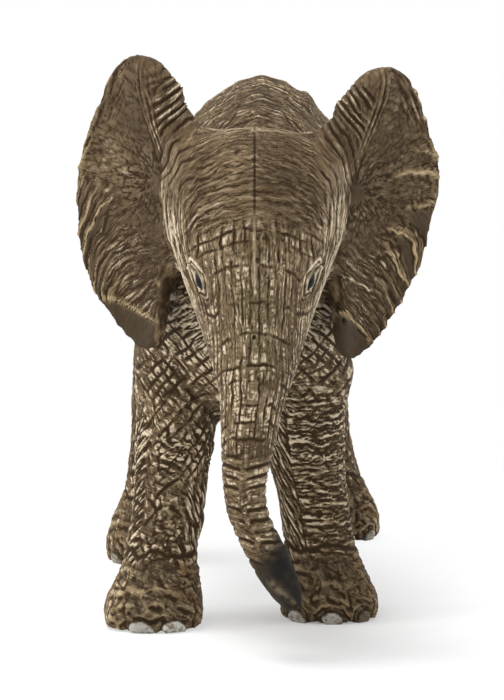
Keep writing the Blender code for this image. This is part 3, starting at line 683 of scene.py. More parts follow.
def flat_ear(side):
    """Where each point lies on the flat ear, in millimetres out from the face's middle and up."""
    if side == "right":
        return FACE_X - X, Z
    middle_x, middle_z = EAR_SPREAD / 2, EAR_LOW + EAR_HEIGHT / 2
    x = X - FACE_X - LEFT_EAR_REACH - middle_x
    z = Z + LEFT_EAR_DROP - middle_z
    turn, rise = math.cos(LEFT_EAR_ROLL), math.sin(LEFT_EAR_ROLL)
    return x * turn - z * rise + middle_x, x * rise + z * turn + middle_z


print("left ear rolled by, degrees:", round(math.degrees(LEFT_EAR_ROLL), 1))


# %% Lines, streaks and patches of the ears
def ear_course(side, high, up, run, wide):
    """Lines that leave the fold nearly level and drop more and more steeply towards the rim."""
    start, end = np.interp(high, DROP_UP, FOLD_DROP[side]), np.interp(high, DROP_UP, RIM_DROP[side])
    late = np.clip((run / wide - 0.45) / 0.6, 0, 1)
    return up + run * start + (end - start) * wide * 0.6 * (late ** 3 - late ** 4 / 2)


def lobe_folds(side, out, up, high, run, seed):
    """Deep cross folds of the thick upper lobe, which hook down along its edge into a narrow hem."""
    hook = 2.2 * step(-3.0, 0.2, run) * step(0.9, 0.6, high)
    slope = np.interp(high, LOBE_UP, LOBE_SLOPE[side])
    level = up + slope * (out - 9) + hook + 0.3 * rough(out / 1.8, up / 1.8, seed)
    turns = level / 1.02 + 0.12 * noise(out / 1.5, up / 0.8, seed + 23)
    folds = grooves(turns, out / 1.8, seed + 1, 0.23, 0.1) * step(-6.5, -4.5, run)
    cross = deepest(folds, 0.45 * strands(level / 0.55, out, seed + 2, 4.0, 0.45))
    hem = grooves(run / 0.42 + 0.2 * noise(up / 2, run, seed + 25), up / 2, seed + 24, 0.2, 0.2)
    cross = mixed(cross, hem, 0.8 * step(-1.5, -0.9, run) * step(0.62, 0.74, high))
    return cross * (1 - 0.7 * step(0.88, 0.98, high))


def ear_streaks(side, out, up, high, fan, warped, seed):
    """Pale raised streaks that run out to the rim, and the smooth dark patch below each."""
    turns = warped / STREAK_PERIOD + 0.3 * noise(warped / 3, fan * 2, seed + 10)
    number = np.round(turns)
    off = turns - number
    strength = 0.35 + 0.75 * chance(number, 0, seed + 11)
    begin = STREAK_START[side] + 0.3 * chance(number, 0, seed + 12)
    edge = step(begin, begin + 0.25, fan + 0.08 * noise(out, up, seed + 15))
    edge = edge * step(0.76, 0.62, high) * step(0.06, 0.12, high)
    vein = (peak(off, 0, 0.07) + 0.4 * peak(off, 0.12, 0.2)) * strength * edge
    patch = step(-0.08, -0.22, off) * (chance(number, 3, seed + 11) > 0.3) * edge
    return vein, patch * step(0.58, 0.48, high) * step(0.55, 0.7, fan)


def ear_tip(side, out, up, fan, seed):
    """The bare patch at the ear's low tip, and the pale line along its upper edge."""
    near, base, slant = TIP_LINE[side]
    line = np.minimum(base + slant * (out - near), TIP_TOP)
    tip = step(0.2, -0.2, up - line + 0.25 * noise(out, up, seed + 13))
    tip = tip * step(near - 0.2, near + 0.4, out + 0.4 * noise(up / 1.2, 0, seed + 17))
    return tip, peak(up - line, 0.35, 0.3) * step(near, near + 0.5, out) * step(1.0, 0.9, fan)


def ear_layers(side, seed):
    """Everything drawn on one ear, by name."""
    out, up = flat_ear(side)
    high = (up - EAR_LOW) / EAR_HEIGHT
    fold = np.interp(high, FOLD_UP, FOLD_OUT) * EAR_SPREAD
    rim = np.interp(high, RIM_UP, RIM_OUT) * EAR_SPREAD
    run, wide = out - fold, rim - fold
    fan = run / wide
    lobe = step(0.2, -0.4, run) * step(0.36, 0.46, high)
    off_lobe = 1 - lobe
    reach = np.hypot(out - EAR_ROOT[0], up - EAR_ROOT[1])
    turn = np.arctan2(up - EAR_ROOT[1], out - EAR_ROOT[0])
    course = ear_course(side, high, up, run, wide)
    warped = course + 0.5 * rough(out / 2.0, up / 2.0, seed + 6)
    outer = step(4.0, 7.0, reach + 0.7 * rough(out / 2, up / 2, seed + 9)) * step(0.62, 0.5, high)
    vein, patch = ear_streaks(side, out, up, high, fan, warped, seed)
    tip, tip_line = ear_tip(side, out, up, fan, seed)
    smooth = np.clip(patch + tip, 0, 1)

    bend = 0.35 * rough(out / 1.5, up / 1.5, seed + 3)
    fine_rays = strands(turn * 10 + bend, reach, seed + 5, 1.4, 0.45) * step(3, 5, reach)
    rays = deepest(strands(turn * 5.0 + bend, reach, seed + 4, 1.5, 0.45), 0.8 * fine_rays)
    rays = rays * step(0.3, 2.0, reach) * (0.65 + 0.3 * step(6, 2, reach))
    streaks = deepest(strands(warped / 0.8, run, seed + 7, 3.0, 0.42),
                      0.8 * strands(warped / 0.45, run, seed + 8, 2.5, 0.45))
    rim_lines = strands((rim - out) / 0.5, up, seed + 16, 5.0)
    near = TIP_LINE[side][0]
    inner_edge = step(near + 0.4, near - 0.3, out + 0.3 * noise(up, 0, seed + 18)) * step(0.36, 0.28, high)
    bumps = rough(out / 0.8, up / 1.3, seed + 19)
    field = mixed(rays, streaks, outer)
    field = mixed(field, rim_lines, step(0.72, 0.86, high) * step(0.3, 0.5, fan) * 0.8)
    field = mixed(field, 0.6 * step(0.15, -0.35, bumps), 0.8 * inner_edge)
    cross = lobe_folds(side, out, up, high, run, seed)

    # A painted highlight along the ear's rim, carried in the vein guide with the pale streaks.
    rim_light = 0.45 * step(0.90, 0.97, fan) * step(0.45, 0.6, high) * step(-0.4, 0.5, noise(up / 1.1, 0, seed + 21))
    vein = vein * (1 - tip) + 0.7 * tip_line + rim_light + 0.5 * inner_edge * step(0.1, 0.5, bumps)
    shade = step(5.5, 1.5, run + rough(out, up, seed + 22)) * step(0.25, 0.45, high) * step(0.95, 0.8, high)
    return {"fan": fan, "high": high, "run": run, "course": course, "turn": turn, "reach": reach,
            "lobe": lobe, "outer": outer, "cross": cross, "net": mixed(field * (1 - 0.9 * smooth), cross, lobe),
            "vein": np.clip(vein, 0, 1) * off_lobe, "smooth": smooth * off_lobe,
            "shade": shade * ROOT_SHADE[side] * off_lobe,
            "scallop": noise(warped / 0.75, 0, seed + 14) * step(0.9, 1.0, fan) * off_lobe,
            "crease": peak(out, fold, 0.4) * step(0.42, 0.5, high) * step(0.85, 0.55, high) * 0.6}


ears = {"left": ear_layers("left", 100), "right": ear_layers("right", 130)}
on_ears = np.clip(on_ear["left"] + on_ear["right"], 0, 1)
on_body = np.clip(1 - on_head - on_ears, 0, 1)


def ear_value(key):
    """A layer of whichever ear a point is on."""
    return sum(ears[side][key] * on_ear[side] for side in SIDES) / np.maximum(on_ears, 1e-6)


lobe_reach = step(5.6, 7.2, face_side) * step(46.5, 49.5, Z)
head_net = mixed(head_net, np.where(X > FACE_X, ears["left"]["cross"], ears["right"]["cross"]), lobe_reach)
print("ears drawn")

# %% [markdown]
# ## From drawings to relief
# The drawn lines become depths in millimetres, and the skin is moved along its facings by that much. It also
# gives back the quarter millimetre that it grew, so the figure keeps its measured size, and the soles stay
# flat on the table.

# %% Turn the lines into depths
FACE_DEPTH, TRUNK_MORE, CHEEK_MORE = 0.17, 0.06, 0.05
BODY_DEPTH, EAR_DEPTH, LOBE_MORE = 0.25, 0.17, 0.10
MOTTLE_HEIGHT, VEIN_HEIGHT, CREASE_DEPTH, SCALLOP_HEIGHT = 0.06, 0.12, 0.35, 0.14
CROWN_HEIGHT, SEAM_DEPTH, FLASH_HEIGHT, SEAM_PLACE = 0.16, 0.12, 0.06, -0.05
ear_net, lobe, vein = (ear_value(key) * on_ears for key in ("net", "lobe", "vein"))
net = head_net * on_head + body_net * on_body + ear_net
depth = head_net * on_head * (FACE_DEPTH + TRUNK_MORE * on_trunk + CHEEK_MORE * on_cheek)
depth += body_net * on_body * BODY_DEPTH + ear_net * (EAR_DEPTH + LOBE_MORE * lobe)
mottle = rough(X / 0.9 + 0.7 * Y, Z / 0.9 + 0.3 * Y, 160)
relief = (-depth + MOTTLE_HEIGHT * mottle * on_body * (1 + 1.6 * foot) + VEIN_HEIGHT * vein
          - CREASE_DEPTH * ear_value("crease") * on_ears + SCALLOP_HEIGHT * ear_value("scallop") * on_ears)
middle_seam = peak(face_x, SEAM_PLACE, 0.10) * on_head * step(44, 46, Z) * (NY < 0.3)
middle_flash = peak(face_x, SEAM_PLACE, 0.13) * on_head * step(47, 45, Z) * step(38.0, 39.4, Z) * (NY < 0)
# A slightly raised line along the crest of the crown, painted pale as a highlight where the top turns from front to
# back.
crown = peak(NY, -0.04, 0.05) * step(-0.5, 0.5, noise(X / 1.2, Y / 0.5, 156)) * (NZ > 0.5)
crown = crown * on_head * step(10.5, 8.5, face_side) * step(48, 51, Z)
relief += CROWN_HEIGHT * crown - SEAM_DEPTH * middle_seam + FLASH_HEIGHT * middle_flash
print("relief, mm:", round(float(relief.min()), 2), "to", round(float(relief.max()), 2))

# %% [markdown]
# The solids follow the photograph's outline to about half a millimetre. The rest is taken up here: the hide is
# pushed sideways by a few tenths at the rims and lobes of the ears, the shoulder, the legs and the trunk.

# %% Push the outline by tenths of a millimetre
PUSH_UP = [0.0, 0.058, 0.194, 0.33, 0.466, 0.534, 0.60, 0.67, 0.806, 0.9, 1.0]
RIM_PUSH = {"left": [-0.3, -0.3, -0.55, -0.4, -0.4, 0.1, 0.5, 0.6, 0.5, 0.3, 0.0],
            "right": [-0.2, -0.1, 0.35, 0.25, 0.0, 0.0, 0.0, 0.0, 0.0, 0.0, 0.0]}
LOBE_PUSH, TEMPLE_RISE, SHOULDER_PUSH, LEFT_LEG_PUSH, TRUNK_PUSH = 0.65, 0.8, 0.6, 0.35, 0.15
push = np.zeros((count, 3))
for side, away in (("left", 1), ("right", -1)):
    fan, high, run = (ears[side][key] for key in ("fan", "high", "run"))
    rim_push = np.interp(high, PUSH_UP, RIM_PUSH[side]) * step(0.1, 1.0, fan)
    lobe_push = LOBE_PUSH * step(0.5, -2.5, run) * step(0.74, 0.86, high)
    push[:, 0] += away * (rim_push - lobe_push) * on_ear[side]
push[:, 2] += TEMPLE_RISE * peak(face_side, 6.7, 1.2) * step(52.8, 54.4, Z)
push[:, 0] += SHOULDER_PUSH * peak(Z, 26, 2.4) * step(6, 9, X) * step(8, 4, Y) * on_body
push[:, 0] += (leg_reach["right"] * step(8.5, 11, Z) * (0.25 + 0.3 * step(-10, -8, X) * step(22, 18, Z))
               - LEFT_LEG_PUSH * leg_reach["left"] * step(7, 4, X) * step(12, 16, Z))
push[:, 0] -= TRUNK_PUSH * on_trunk * step(12, 15, Z) * step(28, 25, Z)
print("outline pushed by up to, mm:", round(float(np.abs(push).max()), 2))

# %% [markdown]
# Each eye sits behind an almond opening. Inside the opening the skin drops behind the bead. Round it the skin
# rolls up into a lid, and a few folds follow the lid's outline. The solid's own eye socket is wider than the
# bead, so the ground round the bead is a smooth surface fitted to the cheek about it.

# %% Shape the lids round the beads
BEAD_RADIUS, BEAD_TALL, BEAD_RISE, BEAD_FORWARD = 1.1, 1.5, 0.1, 0.70
OPENING_ACROSS, OPENING_UP, OPENING_SLANT = 0.45, 1.25, 0.38
LID_LIFT, LID_PLACE, LID_WIDTH = 0.20, 0.24, 0.14
BEHIND_BEAD = 0.14
UPPER_FOLD = {"place": 0.74, "width": 0.13, "lift": 0.16}
RING_PERIOD_OF_LID, RING_DEPTH = 0.55, 0.18


def bead_middle(side):
    """The way an eye faces, the way to the nose, and the middle of its bead in millimetres."""
    outward = Vector((EYES[side].x - FACE_X, EYES[side].y - HEAD_MIDDLE_Y, 0)).normalized()
    forward = Vector((0, 0, 1)).cross(outward) * (-1 if side == "left" else 1)
    return outward, forward, EYES[side] + forward * BEAD_FORWARD + Vector((0, 0, BEAD_RISE))


def fitted_ground(out, along, up, ring):
    """A smooth surface through the skin in a ring round the bead, carried on across its middle."""
    terms = np.stack([np.ones(count), along, up, along ** 2, along * up, up ** 2], axis=1)
    return terms @ np.linalg.lstsq(terms[ring], out[ring], rcond=None)[0]


lid, lid_zone, eye_push = np.zeros(count), np.zeros(count), np.zeros((count, 3))
for side in EYES:
    outward, forward, centre = (np.array(vector) for vector in bead_middle(side))
    from_centre = place / MM - centre
    out, along, up = from_centre @ outward, from_centre @ forward, from_centre[:, 2]
    across = along * math.cos(OPENING_SLANT) + up * math.sin(OPENING_SLANT)
    length = -along * math.sin(OPENING_SLANT) + up * math.cos(OPENING_SLANT)
    oval = np.maximum(np.hypot(across / OPENING_ACROSS, length / OPENING_UP), 0.01)
    beyond = np.hypot(across, length) * (1 - 1 / oval)
    near = (out > -2.5) & (np.hypot(across, length) < 4.5) & (on_head > 0.3)
    ground = fitted_ground(out, along, up, near & (beyond > 1.8) & (beyond < 3.0) & (out > -1.5))
    print(side, "ground at the bead:", round(float(ground[near & (beyond < 0)].mean()), 2))
    bead = BEAD_RADIUS * np.sqrt(np.clip(1 - (along / BEAD_RADIUS) ** 2 - (up / BEAD_TALL) ** 2, 0, None))
    outer_lid = step(0.05, -0.15, across) * step(1.0, 0.6, length)
    lid_height = deepest(bead * step(1.0, 0.3, beyond), ground)
    lid_height = lid_height + (LID_LIFT - 0.15 * outer_lid) * peak(beyond, LID_PLACE, LID_WIDTH)
    target = mixed(np.maximum(out, lid_height), bead - BEHIND_BEAD + 0.10 * outer_lid, step(0.04, -0.06, beyond))
    eye_push += (target - out)[:, None] * (step(2.0, 1.3, beyond) * near)[:, None] * outward

    upper = step(0.0, 0.7, length) * near
    arc = peak(beyond, UPPER_FOLD["place"], UPPER_FOLD["width"]) * upper
    crest = peak(beyond, 0.20 - 0.10 * outer_lid, 0.11) * near * step(0.3, 0.6, on_head)
    lid = deepest(lid, crest, 0.6 * arc)
    lid_zone = np.maximum(lid_zone, step(0.40, 0.25, beyond) * near)
    wandering = beyond / RING_PERIOD_OF_LID + 0.25 * noise(across * 1.5, length * 1.5, 140)
    rings = grooves(wandering, across * 1.5, 141, 0.2, 0.3) * step(0.3, 0.45, beyond) * step(1.7, 1.0, beyond) * near
    furrow = peak(beyond, 0.48, 0.10) * upper
    folds = UPPER_FOLD["lift"] * arc - RING_DEPTH * deepest(rings, furrow) * (1 - arc)
    relief = mixed(relief, folds, near * step(1.8, 0.8, beyond))
print("lid points:", int((lid > 0.5).sum()))

# %% [markdown]
# Toenails are low pale crescents set into the front of each foot, just above the sole. Arched folds with pale
# rims stand over them, one behind the other, where the toes bulge.

# %% Raise the toenails and fold the toes
NAILS = [("foreleg_right", -0.20, 1.4, 0.7), ("foreleg_right", 0.46, 1.5, 1.0), ("foreleg_left", -0.70, 1.1, 0.7),
         ("foreleg_left", 0.05, 1.1, 0.65), ("foreleg_left", 0.72, 0.8, 0.1), ("hindleg_left", 0.85, 1.0, 0.6),
         ("hindleg_right", -0.85, 1.0, 0.6)]
NAIL_RISE, NAIL_TILT, NAIL_LIFT = 0.2, 1.3, 0.16
TOE_FOLDS = [(1.65, 0.13, 1.0), (2.5, 0.17, 0.9), (3.6, 0.22, 0.7), (4.9, 0.25, 0.5)]
TOE_RIM_HEIGHT, TOE_FOLD_DEPTH = 0.07, 0.13
nail, nail_tone, from_nail = np.zeros(count), np.zeros(count), np.full(count, 9.0)
for name, turned, wide, tone in NAILS:
    turn, near = about_foot(name)
    turn = turn - turned
    away = np.hypot(turn * FOOT_RADIUS / wide, Z - NAIL_RISE + NAIL_TILT * turn) + 0.12 * noise(turn * 6, Z * 1.5, 152)
    plate = step(1.06, 0.94, away) * near * off_head
    nail, nail_tone = np.maximum(nail, plate), np.maximum(nail_tone, tone * plate)
    from_nail = np.where(near & (off_head > 0.5), np.minimum(from_nail, away), from_nail)
relief = mixed(relief, NAIL_LIFT, nail) - NAIL_LIFT * peak(blurred(nail, 3), 0.5, 0.2) * (1 - nail)
from_nail += 0.35 * rough(X / 1.6, Z / 1.3, 157)
toe_fold, toe_rim = np.zeros(count), np.zeros(count)
for seed, (reach, width, deep) in enumerate(TOE_FOLDS, 160):
    strength = deep * step(-0.35, 0.25, noise(X / 1.5, Z / 1.5, seed))
    toe_fold = np.maximum(toe_fold, strength * peak(from_nail, reach, width))
    toe_rim = np.maximum(toe_rim, strength * peak(from_nail - reach, 2.1 * width, width))
relief += (TOE_RIM_HEIGHT * toe_rim - TOE_FOLD_DEPTH * toe_fold) * foot
print("nail points:", int((nail > 0.5).sum()))

# %% Prick the pinholes and move the skin
PINHOLES = [(0.07, 41.3, 0.14), (-0.23, 33.4, 0.14), (9.05, 33.5, 0.34), (-13.6, 2.3, 0.2)]
for x, z, wide in PINHOLES:
    relief -= (0.2 + wide) * np.exp(-(((X - x) ** 2 + (Z - z) ** 2) / wide ** 2)) * (NY < -0.3)

shaped = place + facing * ((relief - GROW / MM) * MM)[:, None] + (push + eye_push) * MM
shaped[:, 2] = np.maximum(shaped[:, 2], 0)
print("skin moved by up to, mm:", round(float(np.abs(shaped - place).max() / MM), 2))

# %% [markdown]
# ## Paint guides
# The dark wash runs into hollows and paints the shade in them, and the dry brush touches what stands out
# and paints its highlights. Both follow from how far a point lies below or above the mean of its
# surroundings, so they are measured on the relief and kept on the mesh.
# One more guide keeps the run of the lines, so that the paint can add finer lines in the same direction.

# %% Measure hollows and ridges
LIFT_UNIT, LIFT_ROUNDS = 0.09, 30
on_face = on_head * (1 - on_cheek)
right_half = X < FACE_X
lift = (relief - blurred(relief, LIFT_ROUNDS)) / LIFT_UNIT
# groove: the dark wash in the hollows, which also paints the shade that gathers in them
groove = np.clip(-0.8 * lift + 0.4 * net * (1 - nail) * (1 - 0.3 * on_ears), 0, 1.5)
groove *= (1 - 0.35 * on_cheek * on_head * step(25, 28, Z)) * (1 - 0.8 * lid_zone)
gain = (1 - 0.3 * on_head * step(44, 47, Z) - 0.3 * on_cheek * on_head
        + on_face * step(43, 40, Z) * (0.12 + 0.18 * step(19, 25, Z)) - 0.25 * leg_reach["left"]
        - (0.2 + 0.35 * (1 - ear_value("outer")) * (1 - lobe) * right_half) * on_ears
        + 0.5 * front_share * on_body * step(15, 20, Z) + (0.3 + 0.3 * on_foreleg["right"]) * foot)
face_edge = step(0.5, 0.8, face_side / np.maximum(2.2 + 0.24 * (Z - 18), 1)) * (1 - on_cheek) * step(44, 41, Z)
# Painted light: more dry brush on the cheeks and on the sides of the face and trunk, as if lit from the sides; a
# little more over the whole head; less over the upper body away from the front.
side_light_and_tone = ((0.4 * on_cheek + 0.18 * face_edge) * on_head * step(25, 28, Z)
        + (0.06 + 0.05 * step(43, 40, Z)) * on_head - 0.28 * off_front * on_body * step(16, 22, Z))
# ridge: the dry brush on what stands out, which also paints the highlights on it
ridge = (np.clip(lift, 0, 1.5) * gain + side_light_and_tone) * (1 - 0.7 * nail)
print("hollow and ridge, mean:", round(float(groove.mean()), 2), round(float(ridge.mean()), 2))

# %% Mark where the paint changes
LIP_START, LIP_RUN = (1.4, 8.0), (2.6, -2.1)
off_nail = 1 - nail
trunk_tip = step(12.3, 9.7, tip_slant + 0.5 * noise(trunk_across / 0.8, Z / 0.6, 34)) * on_head
# The slate tip is darker on the elephant's left side, away from the key light, as painted shade; the noise varies its
# tone.
tip_tone_and_shade = 0.6 + 0.4 * step(-1.6, 0.4, trunk_across) + 0.2 * noise(X / 0.8, Z / 0.8, 154)
sole_front = foot * step(1.0, 0.5, np.abs(foot_turn))
blotch = foot * step(0.0, 0.4, rough(foot_turn * 5.5, Z / 0.7, 153)) * (0.6 + 0.4 * step(3, 5, Z))
blotch = blotch * (1 - 0.55 * on_foreleg["left"]) * off_nail
foot_dark = 0.4 + 0.2 * on_foreleg["left"] + 0.3 * on_foreleg["right"] * step(0.1, 0.8, foot_turn)
# The dark guide: smooth ear patches, the trunk's tip and the feet, and painted shade on the ears beside the crease at
# the root.
dark = (trunk_tip + (0.9 * ear_value("smooth") + ear_value("shade")) * on_ears + 0.55 * sole_front
        + foot_dark * foot - 0.45 * blotch)
toe_lines = foot * strands(foot_turn * FOOT_RADIUS / 1.5 + 0.25 * Z, Z / 1.2, 155, 1.6, 0.16) * off_nail
warm = foot * np.clip(0.1 + 0.9 * rough(foot_turn * 3, Z / 2, 150), 0, 1) * (1 - nail_tone) * (1 - 0.7 * sole_front)
olive = on_head * step(4.0, 1.5, face_side) * step(27, 31, Z) * step(43, 38, Z)
lip_x, lip_z = X - LIP_START[0], Z - LIP_START[1]
lip_run = np.clip((lip_x * LIP_RUN[0] + lip_z * LIP_RUN[1]) / 11.2, 0, 1)
lip_away = (lip_x - LIP_RUN[0] * lip_run) ** 2 + (lip_z - LIP_RUN[1] * lip_run) ** 2
lip = np.exp(-(lip_away / (0.18 - 0.13 * lip_run))) * trunk_tip * (noise(X * 2.5, Z * 2.5, 151) > -0.3)
paint = {"groove": groove, "ridge": ridge, "dark": np.clip(dark, 0, 1) * (1 - nail_tone), "warm": warm, "lid": lid,
         "vein": vein + 0.15 * blotch + 0.3 * toe_lines + 0.45 * toe_rim * foot * off_nail, "nail": nail_tone,
         "tip": trunk_tip * tip_tone_and_shade, "olive": olive,
         "flash_and_crest_highlight": np.clip(middle_flash + crown + 0.55 * blurred(lip, 2), 0, 1)}
print("guides:", {name: round(float(value.mean()), 2) for name, value in paint.items()})

# %% Keep the run of the lines
RINGS_TOP = 21
regions = [(on_head * (Z > 44) * (1 - on_cheek), Z + temple_drop, face_across),
           (on_trunk, np.where(Z > RINGS_TOP, trunk_across, Z), np.where(Z > RINGS_TOP, Z, trunk_across)),
           (on_body, Z + 0.3 * X, Y + X),
           (on_ears, ear_value("turn") * 6, ear_value("reach")),
           (on_ears * (ear_value("outer") > 0.5), ear_value("course"), ear_value("run"))]
run_u, run_v = face_across, Z
for share, u, v in regions:
    run_u, run_v = np.where(share > 0.5, u, run_u), np.where(share > 0.5, v, run_v)
paint["run_u"], paint["run_v"] = run_u, run_v
print("run of the lines kept for", len(regions) + 1, "regions")

# %% [markdown]
# ## Cut the hide into its mouldings
# The skin is cut along the joints. Both sides of a cut keep the same border points and the same facings, so
# no line shows. Each piece is then closed with a fan of faces inside the joint.

# %% Cut, close and name the pieces
hide.vertices.foreach_set("co", shaped.ravel())
hide.update()
final_facing = np.empty(count * 3)
hide.vertices.foreach_get("normal", final_facing)
final_facing = final_facing.reshape(-1, 3)


def border_loops(faces_of_vertex_pairs):
    """Closed chains of directed border edges, each as a list of points."""
    following = dict(faces_of_vertex_pairs)
    loops = []
    while following:
        start = next(iter(following))
        chain = [start]
        point = following.pop(start)
        while point != start and point in following:
            chain.append(point)
            point = following.pop(point)
        loops.append(chain)
    return loops


def cut_piece(number):
    faces = np.flatnonzero(face_owner == number)
    sizes = face_size[faces]
    starts = face_start[faces]
    within = np.arange(sizes.sum()) - np.repeat(np.cumsum(sizes) - sizes, sizes)
    corners = loop_vertex[np.repeat(starts, sizes) + within]
    ends = np.repeat(np.cumsum(sizes), sizes)
    next_index = np.arange(len(corners)) + 1
    next_index[next_index == ends] -= sizes.repeat(sizes)[next_index == ends]
    used, local = np.unique(corners, return_inverse=True)
    going = np.stack([local, local[next_index]], axis=1)
    key = going[:, 0] * len(used) + going[:, 1]
    reverse = going[:, 1] * len(used) + going[:, 0]
    border = going[~np.isin(key, reverse)]
    loops = border_loops([(int(b), int(a)) for a, b in border])
    return used, local, sizes, loops


def make_piece(name):
    used, local, sizes, loops = cut_piece(HIDE_NODES.index(name))
    places = [shaped[used]]
    facings = [final_facing[used]]
    corners, lengths = [local], [sizes]
    for chain in loops:
        ring = np.array(chain)
        hub = len(used) + len(places) - 1
        places.append(shaped[used[ring]].mean(axis=0)[None])
        fan = np.stack([ring, np.roll(ring, -1), np.full(len(ring), hub)], axis=1)
        corners.append(fan.ravel())
        lengths.append(np.full(len(ring), 3))
        edge_a, edge_b = shaped[used[ring]], shaped[used[np.roll(ring, -1)]]
        across = np.cross(edge_a - places[-1], edge_b - places[-1]).sum(axis=0)
        facings.append((across / (np.linalg.norm(across) + 1e-12))[None])
    places, facings = np.concatenate(places), np.concatenate(facings)
    corners, lengths = np.concatenate(corners), np.concatenate(lengths)
    mesh = bpy.data.meshes.new(name + "_hide")
    mesh.vertices.add(len(places))
    mesh.vertices.foreach_set("co", places.ravel())
    mesh.loops.add(len(corners))
    mesh.loops.foreach_set("vertex_index", corners)
    mesh.polygons.add(len(lengths))
    mesh.polygons.foreach_set("loop_start", np.cumsum(lengths) - lengths)
    mesh.update(calc_edges=True)
    mesh.validate()
    for guide, values in paint.items():
        layer = mesh.attributes.new(guide, "FLOAT", "POINT")
        layer.data.foreach_set("value", np.concatenate([values[used], np.zeros(len(places) - len(used))]))
    mesh.normals_split_custom_set_from_vertices(facings)
    obj = bpy.data.objects.new(name + "_hide", mesh)
    bpy.context.scene.collection.objects.link(obj)
    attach(obj, "root")
    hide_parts(name)
    return obj, len(loops)


pieces = {}
for name in HIDE_NODES:
    pieces[name], loops = make_piece(name)
    triangles = len(pieces[name].data.loops) - 2 * len(pieces[name].data.polygons)
    print(name, "triangles:", triangles, "openings closed:", loops)
bpy.data.meshes.remove(hide)

# %% [markdown]
# ## Eyes
# The beads are glass-like spheres painted behind the gloss: a dark pupil, a blue-grey iris with a darker edge.

# %% Turn the eye beads
def make_eye(side):
    mesh = bpy.data.meshes.new("eye_bead_" + side)
    shape = bmesh.new()
    bmesh.ops.create_uvsphere(shape, u_segments=48, v_segments=24, radius=BEAD_RADIUS * MM)
    bmesh.ops.scale(shape, verts=shape.verts, vec=(1, 1, BEAD_TALL / BEAD_RADIUS))
    bmesh.ops.translate(shape, verts=shape.verts, vec=bead_middle(side)[2] * MM)
    for face in shape.faces:
        face.smooth = True
    shape.to_mesh(mesh)
    shape.free()
    obj = bpy.data.objects.new("eye_bead_" + side, mesh)
    bpy.context.scene.collection.objects.link(obj)
    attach(obj, "root")
    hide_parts("eye_" + side)
    return obj


eyes = {side: make_eye(side) for side in EYES}
print("eyes made:", list(eyes))

# %% [markdown]
# ## A small language for materials
# Paint recipes read better as arithmetic. A socket is wrapped so that plus, minus and times build the Math
# nodes, and one method makes any other node.

# %% Wrap shader sockets in arithmetic
class Signal:
    def __init__(self, recipe, socket):
        self.recipe, self.socket = recipe, socket

    def math(self, operation, *others, clamp=False):
        node = self.recipe.tree.nodes.new("ShaderNodeMath")
        node.operation = operation
        node.use_clamp = clamp
        for slot, value in zip(node.inputs, (self, *others)):
            self.recipe.feed(slot, value)
        return Signal(self.recipe, node.outputs[0])

    def __add__(self, other):
        return self.math("ADD", other)

    def __sub__(self, other):
        return self.math("SUBTRACT", other)

    def __rsub__(self, other):
        return (self * -1.0) + other

    def __mul__(self, other):
        return self.math("MULTIPLY", other)

    def __truediv__(self, other):
        return self.math("DIVIDE", other)

    def clipped(self):
        return self.math("ADD", 0.0, clamp=True)

    __radd__ = __add__
    __rmul__ = __mul__


class Recipe:
    def __init__(self, name):
        self.material = bpy.data.materials.new(name)
        self.material.use_nodes = True
        self.tree = self.material.node_tree
        self.shader = self.tree.nodes["Principled BSDF"]

    def feed(self, socket, value):
        if isinstance(value, Signal):
            self.tree.links.new(value.socket, socket)
        else:
            socket.default_value = value

    def node(self, kind, output=0, settings=None, **values):
        node = self.tree.nodes.new("ShaderNode" + kind)
        for key, value in (settings or {}).items():
            setattr(node, key, value)
        for key, value in values.items():
            self.feed(node.inputs[key.replace("_", " ")], value)
        return Signal(self, node.outputs[output])

    def guide(self, name):
        return self.node("Attribute", "Fac", {"attribute_name": name})

    def position(self):
        return self.node("TexCoord", "Object")

    def noise(self, scale, detail=3.0, roughness=0.6):
        return self.node("TexNoise", 0, Vector=self.position(), Scale=scale, Detail=detail, Roughness=roughness)

    def blend(self, share, first, second):
        node = self.tree.nodes.new("ShaderNodeMix")
        node.data_type = "RGBA"
        for key, value in (("Factor_Float", share), ("A_Color", first), ("B_Color", second)):
            socket = next(s for s in node.inputs if s.identifier == key)
            self.feed(socket, value)
        return Signal(self, next(s for s in node.outputs if s.identifier == "Result_Color"))

    def finish(self, **values):
        for key, value in values.items():
            self.feed(self.shader.inputs[key.replace("_", " ")], value)
        return self.material


print("paint tools ready")

# %% [markdown]
# ## Paint
# The base coat is a warm mid brown. A dark wash fills the grooves and paints the shade in them, and tan and
# cream are dry-brushed over the ridges, where they also paint the highlights. Ear patches, the trunk's tip
# and the feet stay smoother and darker.

# %% Mix the hide paint
def colour(red, green, blue):
    return (red, green, blue, 1.0)


SHADE = colour(0.028, 0.017, 0.008)
UMBER = colour(0.072, 0.048, 0.028)
TAN = colour(0.30, 0.230, 0.148)
CREAM = colour(0.56, 0.465, 0.335)
SLATE = colour(0.013, 0.012, 0.011)
STREAK = colour(0.39, 0.295, 0.165)
RUST = colour(0.21, 0.115, 0.045)
OLIVE = colour(0.15, 0.125, 0.065)
NAIL = colour(0.47, 0.46, 0.42)
NAIL_DIRT = colour(0.19, 0.165, 0.12)


def fine_lines(paint):
    """Lines too fine for the relief, drawn along the run of the larger ones: 1 in a line, 0 off it."""
    run = paint.node("CombineXYZ", "Vector", X=paint.guide("run_u") * 3.0, Y=paint.guide("run_v") * 0.55, Z=0.0)
    value = paint.node("TexNoise", 0, Vector=run, Scale=1.0, Detail=2.0, Roughness=0.55, Distortion=0.3)
    return (1.0 - (value - 0.5).math("ABSOLUTE") * 16.0).clipped()


